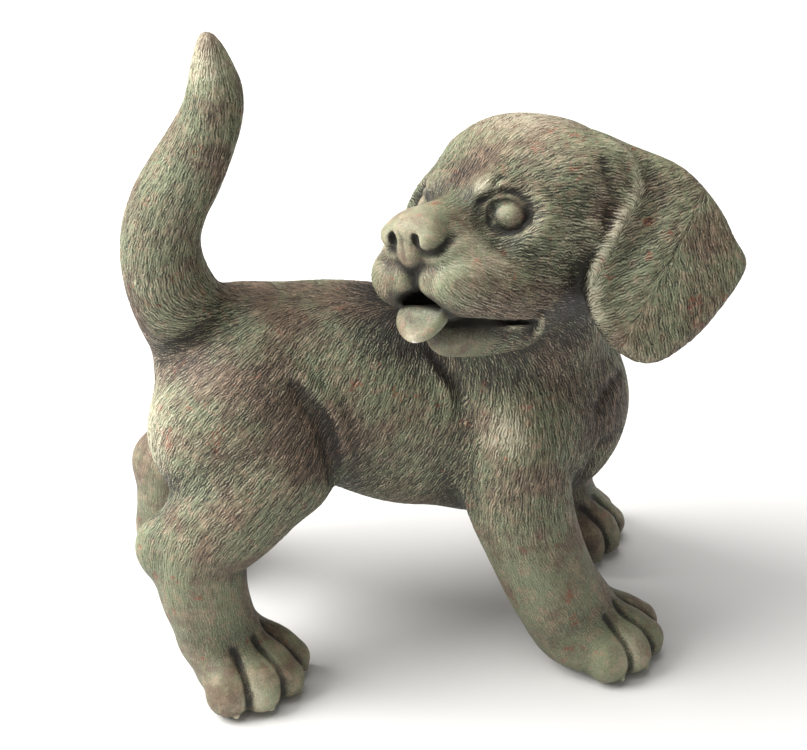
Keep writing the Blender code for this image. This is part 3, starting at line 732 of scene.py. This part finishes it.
def cast_skin(clay):
    """A copy of the solid with an even grain, laid back on the clay."""
    solid = frame["nodes"]["beagle_puppy"]
    piece = bpy.data.objects.new("cast_puppy", solid.data.copy())
    bpy.context.scene.collection.objects.link(piece)
    piece.data.materials.clear()
    shell = bmesh.new()
    shell.from_mesh(piece.data)
    bmesh.ops.remove_doubles(shell, verts=shell.verts, dist=MERGE_GAP)
    shell.to_mesh(piece.data)
    shell.free()
    skin = piece.modifiers.new("skin", "REMESH")
    skin.mode = "VOXEL"
    skin.voxel_size = SKIN_VOXEL
    apply_modifiers(piece)
    points, _ = clay.fit(read_points(piece.data), FIT_ROUNDS)
    write_points(piece.data, points)
    return piece


# Fur: where a comb touches the skin and which way it goes. Head places are from the skull's middle

BODY_COMBS = [
    ((-84, 15, 215), (-0.1, -1, 0)), ((-46, 23, 207), (-0.2, -1, 0)), ((-17, 17, 202), (-0.3, -0.9, -0.2)),
    ((-56, -9, 198), (-0.3, -0.8, -0.4)), ((-10, -15, 179), (-0.4, -0.6, -0.7)),
    ((-2, -24, 143), (-0.5, -0.1, -0.8)), ((-32, -22, 175), (-0.3, -0.5, -0.8)),
    ((9, -15, 108), (-0.5, 0.4, -0.7)), ((44, -12, 191), (0.4, -0.3, -0.8)),
    ((69, -17, 189), (0.7, 0, -0.7)), ((41, -19, 171), (-0.4, -0.2, -0.9)),
    ((36, -25, 145), (-0.5, 0.2, -0.8)), ((95, -14, 161), (0.2, -0.2, -1)),
    ((115, 5, 142), (0.1, 0, -1)), ((69, -36, 151), (-0.2, -0.5, -0.8)),
    ((-83, -17, 204), (-0.6, -0.7, -0.3)), ((-96, -48, 173), (-0.7, -0.2, -0.7)),
    ((-61, -37, 178), (-0.5, -0.7, -0.5)), ((-83, -58, 140), (-0.7, -0.2, -0.7)),
    ((-119, -13, 201), (-0.8, 0.1, -0.6)), ((-130, -31, 167), (-0.3, 0, -0.9)),
]
HEAD_COMBS = [
    ((44, -1, 31), (-0.7, -0.4, 0.6)), ((15, 23, 41), (-0.8, 0.5, 0.2)), ((26, 45, 15), (-0.7, 0.7, -0.1)),
    ((53, 23, 17), (-0.5, 0.1, 0.9)), ((30, 45, -30), (-1, 0.1, -0.2)), ((25, 44, -6), (-0.9, 0.4, -0.2)),
    ((76, 32, -27), (-0.9, 0.4, -0.4)), ((96, 18, -32), (0, 0.7, -0.8)), ((85, 11, 2), (-1, 0.1, 0)),
    ((52, 14, -68), (-1, 0.2, -0.1)), ((18, 34, -58), (-0.9, -0.3, -0.2)), ((-30, 30, 20), (-0.6, 0.2, -0.8)),
]
# Fur along the legs and the tail: where it starts and where it points to
DOWN_THE_LEGS = [
    ((-94, -34, 112), (-113, -40, 90)), ((-114, -44, 64), (-109, -46, 40)), ((-114, 58, 104), (-132, 62, 78)),
    ((-136, 62, 56), (-136, 62, 34)), ((64, -16, 106), (73, -22, 78)), ((84, -24, 50), (92, -22, 34)),
    ((76, 72, 118), (84, 80, 88)), ((90, 86, 60), (92, 88, 34)),
]
UP_THE_TAIL = [
    ((-109, 12, 191), (-121, 10, 212)), ((-129, 9, 235), (-131, 10, 257)),
    ((-131, 10, 257), (-126, 11, 278)), ((-126, 11, 278), (-117, 12, 296)),
    ((-117, 12, 296), (-101, 12, 333)), ((-101, 12, 333), (-99, 12, 360)),
]
MIRROR_MIDDLE = np.array([0.0, 29.0, 0.0])  # a point of the upright plane between the puppy's two sides
MIRROR_SIDE = np.array([-0.14, 0.99, 0.0])  # and the way across it
COMB_REACH = 24.0  # how far one comb guides the fur round it
FAR_PULL = 1e-4  # share of a comb's pull that reaches beyond that
COMB_BATCH = 20000  # points that are combed at one time, which keeps the memory small
EAR_PARTING = (15.0, 10.0)  # a point of the line where the fur of an ear parts, in the ear's own plane
EAR_PARTING_LEAN = 0.57  # how far that line moves back for each millimetre up the ear
EAR_PARTING_REACH = 7.0
TO_THE_RIM = np.array([-0.9, -0.35, 0.0])
DOWN_THE_EAR = np.array([0.2, -0.95, 0.0])


def comb_guides():
    """Places and ways of all the combs, with those of the far side mirrored."""
    places, ways = [], []
    for place, way in BODY_COMBS:
        place, way = np.array(place, float), np.array(way, float)
        for side in (0, 2):  # 0 leaves the comb as it is, 2 takes it through the plane to the far side
            places.append(place - side * ((place - MIRROR_MIDDLE) @ MIRROR_SIDE) * MIRROR_SIDE)
            ways.append(way - side * (way @ MIRROR_SIDE) * MIRROR_SIDE)
    for place, way in HEAD_COMBS:
        for side in (1, -1):
            places.append(on_head(place[0], side * place[1], place[2]))
            ways.append(np.array([way[0], side * way[1], way[2]]) @ HEAD)
    for start, end in DOWN_THE_LEGS + UP_THE_TAIL:
        places.append(np.array(start, float))
        ways.append(np.array(end, float) - start)
    places, ways = np.array(places), np.array(ways)
    return places, ways / np.linalg.norm(ways, axis=1)[:, None]


def comb_ear(ear, points, ways):
    """Fur of an ear parts at a line down it: outwards to its front rim, and down behind it."""
    local = (points - ear.origin) @ ear.frame.T
    on_ear = smooth_step(5.0, 1.0, ear.distance(points))
    beyond = local[:, 0] - EAR_PARTING[0] - EAR_PARTING_LEAN * (local[:, 1] - EAR_PARTING[1])
    behind = smooth_step(-EAR_PARTING_REACH, EAR_PARTING_REACH, beyond)[:, None]
    flat = TO_THE_RIM * (1 - behind) + DOWN_THE_EAR * behind
    return ways * (1 - on_ear[:, None]) + (flat @ ear.frame) * on_ear[:, None]


def combed(points, normals, guides, ears):
    """Which way the fur lies at each point, along the skin."""
    places, ways = guides
    found = np.empty_like(points)
    for start in range(0, len(points), COMB_BATCH):
        part = slice(start, start + COMB_BATCH)
        gap2 = ((points[part, None, :] - places) ** 2).sum(axis=2)
        pull = np.exp(-gap2 / (2 * COMB_REACH**2)) + FAR_PULL / (1 + gap2)
        found[part] = pull @ ways
    for ear in ears:
        found = comb_ear(ear, points, found)
    found -= (found * normals).sum(axis=1)[:, None] * normals
    return found / np.maximum(np.linalg.norm(found, axis=1), 1e-6)[:, None]


# Nose, eyes, tongue and lower lip have no fur: places from the skull's middle, with how far they reach
BARE_ON_HEAD = [
    ((93, 0, -11), 16), ((40, 22, -1), 13), ((40, -22, -1), 13), ((80, 0, -54), 21), ((56, 0, -57), 22),
]


def fur_strength(points):
    """1 where the fur is deep, less down the legs and on the muzzle, and 0 where there is none."""
    found = 0.35 + 0.65 * smooth_step(70, 120, points[:, 2])  # less on the legs
    found *= 0.3 + 0.7 * smooth_step(22, 45, points[:, 2])  # and again on the feet
    for place, reach in BARE_ON_HEAD:
        gap = np.linalg.norm(points - on_head(*place), axis=1)
        found *= smooth_step(reach - 2, reach + 6, gap)
    local = (points - HEAD_AT) @ HEAD.T
    ahead, aside = local[:, 0], np.linalg.norm(local[:, 1:], axis=1)
    return found * (1 - 0.55 * smooth_step(45, 65, ahead) * smooth_step(60, 35, aside))


# Fur strokes, in millimetres
STROKE_PERIOD = 2.5  # from one stroke to the next beside it
STROKE_OVERLAP = 0.8  # room along the fur that a stroke is given, as a share of its length
STROKE_LENGTH = (6.0, 12.0)  # the shortest and the longest
STROKE_STEP = 1.2  # between the points of a stroke
STROKE_SWERVE = 0.10  # how much a stroke turns off the combing, in radians
STROKE_HALF_WIDTH = 0.5
STROKE_DEPTH = 0.42
STROKE_SEED = 11
BURR_PLACE = 1.9  # how far a burr stands from the middle of its stroke, in half widths
BURR_HEIGHT = 0.3  # as a share of the stroke's depth
RISE_REACH = 2.2  # the skin is smoothed this far to find what stands proud
COMB_SMOOTHING = 2.5  # and this far to find the plane that the fur lies in

# Where the patina is worn pale at the toes and at the tips of the tail and tongue, where highlights are
# painted on the crown, face, shoulder and haunches where light falls, where the patina is painted browner and
# darker,
# and where the resin shows as a chip: places and how far they reach
WORN_AND_HIGHLIT = [
    (on_head(0, 4, 46), 52), (on_head(88, 0, -8), 24), (on_head(68, 20, -28), 36), ((-134, -16, 156), 52),
    ((-138, 40, 120), 50), ((56, -30, 158), 26), ((-84, -76, 14), 24), ((124, -42, 16), 24),
    ((-102, 8, 366), 26), (on_head(90, 0, -65), 9), ((103, -36, 300), 20), (on_head(20, 40, -10), 26),
    (on_head(54, 18, 12), 11),
]
BROWNED = [
    ((-45, 25, 214), 62), ((5, 20, 200), 62), ((-66, -28, 186), 44), ((60, -6, 216), 46), ((118, 4, 150), 48),
    ((-128, 10, 215), 40), ((-44, -34, 150), 40), (on_head(40, 0, 22), 22),
]
CHIPPED = [
    (on_head(90, 0, -66), 5.0), ((-92, -50, 175), 4.5), ((124, -48, 7), 3.5), ((143, -28, 7), 3.5),
    ((-92, -70, 7), 3.0), ((-72, -57, 7), 3.0),
]
WIPED_PALE = 0.35  # how worn the wiped eyes look
RIM_REACH = 12.0  # half the width of the painted highlight along the rolled rim of an ear
OCCLUSION_SHADE_REACH = 32.0  # how far off the skin other masses still cast the painted shade
NOOK_REACH = 4.0  # how far off the skin other skin still gathers the dark wash in creases and corners


def nearness(points, places):
    """1 at the nearest of the places, and falling away to 0 at its reach."""
    found = np.zeros(len(points))
    for place, reach in places:
        gap = np.linalg.norm(points - place, axis=1)
        found = np.maximum(found, smooth_step(reach, 0.0, gap))
    return found


def on_eyeballs(points):
    """1 on the blank eyes, which are wiped clean."""
    gaps = [np.linalg.norm(points - on_head(*eye_middle(side)), axis=1) for side in (1, -1)]
    return smooth_step(EYEBALL + 1.0, EYEBALL + 0.2, np.minimum(*gaps))


def closed_in(clay, points, normals, reach):
    """0 on open skin and towards 1 where other skin lies close in front of it."""
    gap = clay.distance(points + reach * normals)
    return np.clip(1 - gap / reach, 0, 1)


def trace_strokes(points, normals, ways):
    """Strokes that start at scattered points and follow the combing: points of all of them, in rows."""
    rng = np.random.default_rng(STROKE_SEED)
    order = rng.permutation(len(points))
    cell = math.sqrt(STROKE_PERIOD * 0.5 * sum(STROKE_LENGTH) * STROKE_OVERLAP)
    _, first = np.unique(np.floor(points[order] / cell).astype(int), axis=0, return_index=True)
    starts = order[first]
    tree = KDTree(len(points))
    for i, point in enumerate(points):
        tree.insert(point, i)
    tree.balance()
    count = math.ceil(STROKE_LENGTH[1] / STROKE_STEP)
    lengths = rng.uniform(*STROKE_LENGTH, len(starts)) / STROKE_STEP
    turn = rng.normal(0, STROKE_SWERVE, len(starts))
    at, here = points[starts], starts
    path = [at]
    for _ in range(count):
        way = ways[here] + turn[:, None] * np.cross(normals[here], ways[here])
        at = at + STROKE_STEP * way
        here = np.array([tree.find(point)[1] for point in at])
        at = at - ((at - points[here]) * normals[here]).sum(axis=1)[:, None] * normals[here]
        path.append(at)
    return np.stack(path, axis=1), lengths


def stroke_relief(points, strokes, lengths):
    """How far each point lies in the nearest stroke, and how far on the burr beside it, both from 0 to 1."""
    rows, columns = strokes.shape[:2]
    step = np.arange(columns)
    used = step[None, :] <= lengths[:, None]
    row, column = np.nonzero(used)
    tree = KDTree(len(row))
    flat = strokes[row, column]
    for i, point in enumerate(flat):
        tree.insert(point, i)
    tree.balance()
    nearest = np.array([tree.find(point)[1] for point in points])
    row, column = row[nearest], column[nearest]
    gap = np.full(len(points), np.inf)
    along = np.zeros(len(points))
    for shift in (-1, 0):
        i = np.clip(column + shift, 0, columns - 2)
        a, b = strokes[row, i], strokes[row, i + 1]
        edge, reach = b - a, points - a
        share = np.clip((edge * reach).sum(axis=1) / np.maximum((edge**2).sum(axis=1), 1e-9), 0, 1)
        new = np.linalg.norm(reach - share[:, None] * edge, axis=1)
        closer = new < gap
        gap = np.where(closer, new, gap)
        along = np.where(closer, i + share, along)
    share = np.clip(along / lengths[row], 0, 1)
    taper = np.sqrt(np.clip(4 * share * (1 - share), 0, 1))
    groove = np.exp(-((gap / STROKE_HALF_WIDTH) ** 2))
    burr = np.exp(-(((gap - BURR_PLACE * STROKE_HALF_WIDTH) / STROKE_HALF_WIDTH) ** 2))
    return taper * groove, taper * burr


def comb_fur(piece, clay, clay_ears):
    """Cuts the combed strokes, and keeps on the mesh what the patina needs to know."""
    mesh = piece.data
    points, normals = read_points(mesh), read_normals(mesh)
    # Painted shade: darker where other masses of the puppy close in over the skin
    keep(mesh, "occlusion_shade", closed_in(clay, points, normals, OCCLUSION_SHADE_REACH))
    wiped = on_eyeballs(points)
    keep(mesh, "nook", closed_in(clay, points, normals, NOOK_REACH) * (1 - wiped))
    # Pale wear at the toes and the tips of the tail and tongue, with painted highlights where light falls on
    # the crown, face, shoulder, haunches and the rims of the ears
    rims = [(place, RIM_REACH) for ear in clay_ears for place in ear_strokes(ear)[0].path]
    keep(mesh, "worn_and_highlit", np.maximum(nearness(points, WORN_AND_HIGHLIT + rims), WIPED_PALE * wiped))
    keep(mesh, "browned", nearness(points, BROWNED))
    edges = read_edges(mesh)
    millimetres = SKIN_VOXEL * 1000
    fine = averaged(points, edges, round(2 * (RISE_REACH / millimetres) ** 2))
    keep(mesh, "rise", ((points - fine) * normals).sum(axis=1))
    smooth_normals = averaged(normals, edges, round(2 * (COMB_SMOOTHING / millimetres) ** 2))
    smooth_normals /= np.linalg.norm(smooth_normals, axis=1)[:, None]
    ways = combed(points, smooth_normals, comb_guides(), clay_ears)
    keep(mesh, "across", np.cross(smooth_normals, ways))
    keep(mesh, "fur", fur_strength(points))
    keep(mesh, "chipped", nearness(points, CHIPPED))
    strokes, lengths = trace_strokes(points, smooth_normals, ways)
    finer = piece.modifiers.new("finer", "SUBSURF")
    finer.levels = finer.render_levels = 1
    finer.quality = 1
    finer.use_limit_surface = False
    apply_modifiers(piece)
    mesh = piece.data
    points, normals = read_points(mesh), read_normals(mesh)
    groove, burr = stroke_relief(points, strokes, lengths)
    fur = kept(mesh, "fur")
    groove = fur * (groove - BURR_HEIGHT * burr)
    keep(mesh, "groove", groove)
    write_points(mesh, points - STROKE_DEPTH * groove[:, None] * normals)
    # Chips are hardly wider than the grain, so they are found again on the finer mesh
    keep(mesh, "chipped", nearness(points, CHIPPED))
    thin = piece.modifiers.new("thin", "DECIMATE")
    thin.ratio = MOST_FACES / (2 * len(mesh.polygons))
    thin.use_collapse_triangulate = True
    apply_modifiers(piece)


# Patina

def linear(code):
    """A hex sRGB colour as linear RGBA."""
    parts = [int(code[i : i + 2], 16) / 255 for i in (1, 3, 5)]
    return (*(p / 12.92 if p <= 0.04045 else ((p + 0.055) / 1.055) ** 2.4 for p in parts), 1.0)


SAGE = linear("#8a9070")
UMBER = linear("#7d6a56")
CREAM = linear("#ddd5ba")
RUST = linear("#9c5a42")
BLUSH = linear("#b3937c")
# Dark wash for the carving, also used for the painted shade
DARK_WASH_AND_SHADE = linear("#14110d")
PLASTER = linear("#f2eee6")
PAPER = linear("#f4f3f0")
DAYLIGHT = linear("#f5f5f5")
BUMP_DEPTH = 0.0005  # of the finest grain, in metres


def add(tree, kind, inputs={}, **settings):
    """Adds a node. An input is a value, or the output of another node to link from."""
    node = tree.nodes.new(kind)
    for name, value in settings.items():
        setattr(node, name, value)
    for name, value in inputs.items():
        if isinstance(value, bpy.types.NodeSocket):
            tree.links.new(value, node.inputs[name])
        else:
            node.inputs[name].default_value = value
    return node


def patina():
    """Cold-cast resin under a brushed patina.

    A dark umber wash stays in the carving, sage and umber mottle the skin, cream is dry-brushed over
    what stands proud, and a wax coat leaves a low sheen. Shade is painted on where the skin faces down
    and where other masses close in over it, and highlights are painted pale where light falls.
    """
    material = bpy.data.materials.new("patinated_cold_cast_resin")
    material.use_nodes = True
    tree = material.node_tree
    tree.nodes.clear()

    def maths(operation, a, b=0.0, c=0.0):
        return add(tree, "ShaderNodeMath", {0: a, 1: b, 2: c}, operation=operation).outputs[0]

    def vectors(operation, a, b):
        return add(tree, "ShaderNodeVectorMath", {0: a, 1: b}, operation=operation).outputs

    def spread(value, low, high, start=0.0, end=1.0):
        inputs = {"Value": value, "From Min": low, "From Max": high, "To Min": start, "To Max": end}
        return add(tree, "ShaderNodeMapRange", inputs, interpolation_type="SMOOTHSTEP").outputs[0]

    def noise(millimetres, detail=3.0, roughness=0.55, vector=None):
        inputs = {"Vector": vector or place, "Scale": 1000 / millimetres}
        inputs.update({"Detail": detail, "Roughness": roughness})
        return add(tree, "ShaderNodeTexNoise", inputs).outputs["Fac"]

    def mix(amount, a, b):
        return add(tree, "ShaderNodeMix", {"Factor": amount, 6: a, 7: b}, data_type="RGBA").outputs[2]

    def value_of(name):
        return add(tree, "ShaderNodeAttribute", attribute_name=name).outputs["Fac"]

    place = add(tree, "ShaderNodeTexCoord").outputs["Object"]
    across = add(tree, "ShaderNodeAttribute", attribute_name="across").outputs["Vector"]
    fur, groove, rise = (value_of(name) for name in ("fur", "groove", "rise"))
    occlusion_shade, nook = value_of("occlusion_shade"), value_of("nook")
    worn_and_highlit, browned, chipped = (value_of(name) for name in ("worn_and_highlit", "browned", "chipped"))

    def hatching(patch, period, shift):
        """Fine comb lines in patches: 1 on a ridge, 0 in a groove."""
        moved = vectors("ADD", place, (shift, shift, shift))[0]
        cells = add(tree, "ShaderNodeTexVoronoi", {"Vector": moved, "Scale": 1000 / patch})
        local = vectors("SUBTRACT", moved, cells.outputs["Position"])[0]
        reach = vectors("DOT_PRODUCT", local, across)["Value"]
        wander = maths("MULTIPLY", noise(5.0, 2.0), 2.2)
        turns = maths("MULTIPLY_ADD", reach, 1000 / period, wander)
        wave = maths("SINE", maths("MULTIPLY", turns, math.tau))
        broken = spread(noise(3.6, 2.0, 0.6, moved), 0.34, 0.58)
        return maths("MULTIPLY_ADD", maths("MULTIPLY", wave, broken), 0.5, 0.5)

    lines = maths("MULTIPLY", hatching(8.0, 1.55, 0.0), spread(hatching(6.0, 2.1, 0.31), 0.0, 1.0, 0.5, 1.0))
    grain = noise(0.9, 4.0, 0.7)
    blotch = noise(34.0, 4.0, 0.6)
    fleck = noise(7.0, 4.0, 0.65)
    speck = noise(2.4, 3.0, 0.6)

    # What stands proud of the fur, from below 0 in a groove to above 0 on a ridge
    relief = maths("MULTIPLY", maths("SUBTRACT", lines, 0.32), fur)
    relief = maths("MULTIPLY_ADD", groove, -0.42, relief)
    proud = maths("MULTIPLY_ADD", rise, 0.8, relief)
    proud = maths("ADD", maths("SUBTRACT", grain, 0.5), proud)

    # Mottled sage and umber, with blushes and rust spots
    green = maths("MULTIPLY_ADD", browned, -0.16, maths("MULTIPLY_ADD", fleck, 0.5, blotch))
    blushing = maths("MULTIPLY_ADD", speck, 0.35, fleck)
    rusty = maths("MULTIPLY_ADD", speck, 0.5, noise(11.0))
    ground = mix(spread(green, 0.58, 0.84), UMBER, SAGE)
    ground = mix(spread(blushing, 0.66, 0.82, 0.0, 0.5), ground, BLUSH)
    ground = mix(spread(rusty, 0.88, 1.0, 0.0, 0.7), ground, RUST)

    # Pale dry-brushing on ridges and worn places, and painted highlights where light falls; dark wash in
    # grooves and creases, and painted shade where the skin faces down and where other masses close in over it
    facing = add(tree, "ShaderNodeNewGeometry").outputs["Normal"]
    up = add(tree, "ShaderNodeSeparateXYZ", {0: facing}).outputs["Z"]
    brushed = maths("MULTIPLY_ADD", worn_and_highlit, 0.5, maths("MULTIPLY", proud, 0.65))
    brushed = maths("MULTIPLY_ADD", browned, -0.15, brushed)
    painted = mix(spread(brushed, 0.10, 0.80, 0.0, 0.8), ground, CREAM)
    deep = maths("MULTIPLY_ADD", occlusion_shade, 0.75, maths("MULTIPLY", nook, 0.55))
    # Painted shade: darker the more the skin faces down, and lighter where it faces up
    deep = maths("MULTIPLY_ADD", maths("SUBTRACT", 0.5, up), 0.22, deep)
    deep = maths("SUBTRACT", deep, proud)
    deep = maths("MULTIPLY_ADD", worn_and_highlit, -0.34, deep)
    deep = maths("MULTIPLY_ADD", browned, 0.22, deep)
    painted = mix(spread(deep, -0.30, 0.70, 0.0, 0.95), painted, DARK_WASH_AND_SHADE)
    painted = mix(spread(maths("MULTIPLY_ADD", speck, 0.8, chipped), 0.98, 1.04), painted, PLASTER)

    height = maths("MULTIPLY_ADD", grain, 0.25, maths("MULTIPLY", lines, maths("MULTIPLY", fur, 0.9)))
    height = maths("MULTIPLY_ADD", speck, 0.35, height)
    bump = add(tree, "ShaderNodeBump", {"Height": height, "Distance": BUMP_DEPTH})
    sheen = spread(proud, -0.2, 0.6, 0.72, 0.44)
    surface = add(tree, "ShaderNodeBsdfPrincipled", {
        "Base Color": painted, "Roughness": sheen, "IOR": 1.5, "Normal": bump.outputs[0],
        "Coat Weight": 0.08, "Coat Roughness": 0.35,
    })
    add(tree, "ShaderNodeOutputMaterial", {"Surface": surface.outputs[0]})
    return material


def matt_paper():
    material = bpy.data.materials.new("matt_white_paper")
    material.use_nodes = True
    shader = material.node_tree.nodes["Principled BSDF"]
    shader.inputs["Base Color"].default_value = PAPER
    shader.inputs["Roughness"].default_value = 0.9
    return material


# Studio

CAMERA_RISE = 34.0  # degrees above the horizon
CAMERA_DISTANCE = 1.8
CAMERA_AIM = Vector((-MIDDLE[0] / 1000, -MIDDLE[1] / 1000, 0.176))  # above the clay's origin
PHOTO_WIDTH_AT_AIM = 0.44385  # width of the photograph's frame where the puppy stands
SENSOR = 36.0
FLOOR_SIZE = 12.0
LAMP_AIM = Vector((0.0, 0.0, 0.18))
DAYLIGHT_STRENGTH = 0.22


def add_floor():
    shape = bmesh.new()
    bmesh.ops.create_grid(shape, x_segments=1, y_segments=1, size=FLOOR_SIZE / 2)
    mesh = bpy.data.meshes.new("floor")
    shape.to_mesh(mesh)
    shape.free()
    mesh.materials.append(matt_paper())
    floor = bpy.data.objects.new("floor", mesh)
    bpy.context.scene.collection.objects.link(floor)


def add_camera():
    data = bpy.data.cameras.new("camera")
    data.sensor_width = SENSOR
    data.lens = SENSOR * CAMERA_DISTANCE / PHOTO_WIDTH_AT_AIM
    camera = bpy.data.objects.new("camera", data)
    rise = math.radians(CAMERA_RISE)
    back = Vector((0.0, -math.cos(rise), math.sin(rise)))
    camera.location = CAMERA_AIM + back * CAMERA_DISTANCE
    camera.rotation_mode = "QUATERNION"
    camera.rotation_quaternion = (-back).to_track_quat("-Z", "Y")
    bpy.context.scene.collection.objects.link(camera)
    bpy.context.scene.camera = camera


def add_lamp(name, place, size, power):
    """A round softbox aimed at the puppy: its place and size in metres, its power in watts."""
    data = bpy.data.lights.new(name, "AREA")
    data.shape = "DISK"
    data.size = size
    data.energy = power
    lamp = bpy.data.objects.new(name, data)
    lamp.location = place
    lamp.rotation_mode = "QUATERNION"
    lamp.rotation_quaternion = (LAMP_AIM - lamp.location).to_track_quat("-Z", "Y")
    bpy.context.scene.collection.objects.link(lamp)


def add_studio():
    add_floor()
    add_camera()
    add_lamp("softbox_left", (-2.1, -0.1, 1.75), 2.2, 114.0)
    add_lamp("softbox_top", (-0.5, 0.2, 2.6), 2.4, 48.0)
    add_lamp("fill_right", (1.6, -2.0, 1.0), 1.6, 2.0)
    world = bpy.data.worlds.new("studio")
    world.use_nodes = True
    backdrop = world.node_tree.nodes["Background"]
    backdrop.inputs["Color"].default_value = DAYLIGHT
    backdrop.inputs["Strength"].default_value = DAYLIGHT_STRENGTH
    bpy.context.scene.world = world
    bpy.context.scene.view_settings.view_transform = "Standard"


def main():
    clay, ears = puppy_clay()
    deepen_eyes(clay)
    piece = cast_skin(clay)
    comb_fur(piece, clay, ears)
    piece.data.materials.append(patina())
    piece.data.polygons.foreach_set("use_smooth", np.ones(len(piece.data.polygons), bool))
    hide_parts("beagle_puppy")
    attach(piece, "root")
    add_studio()


main()
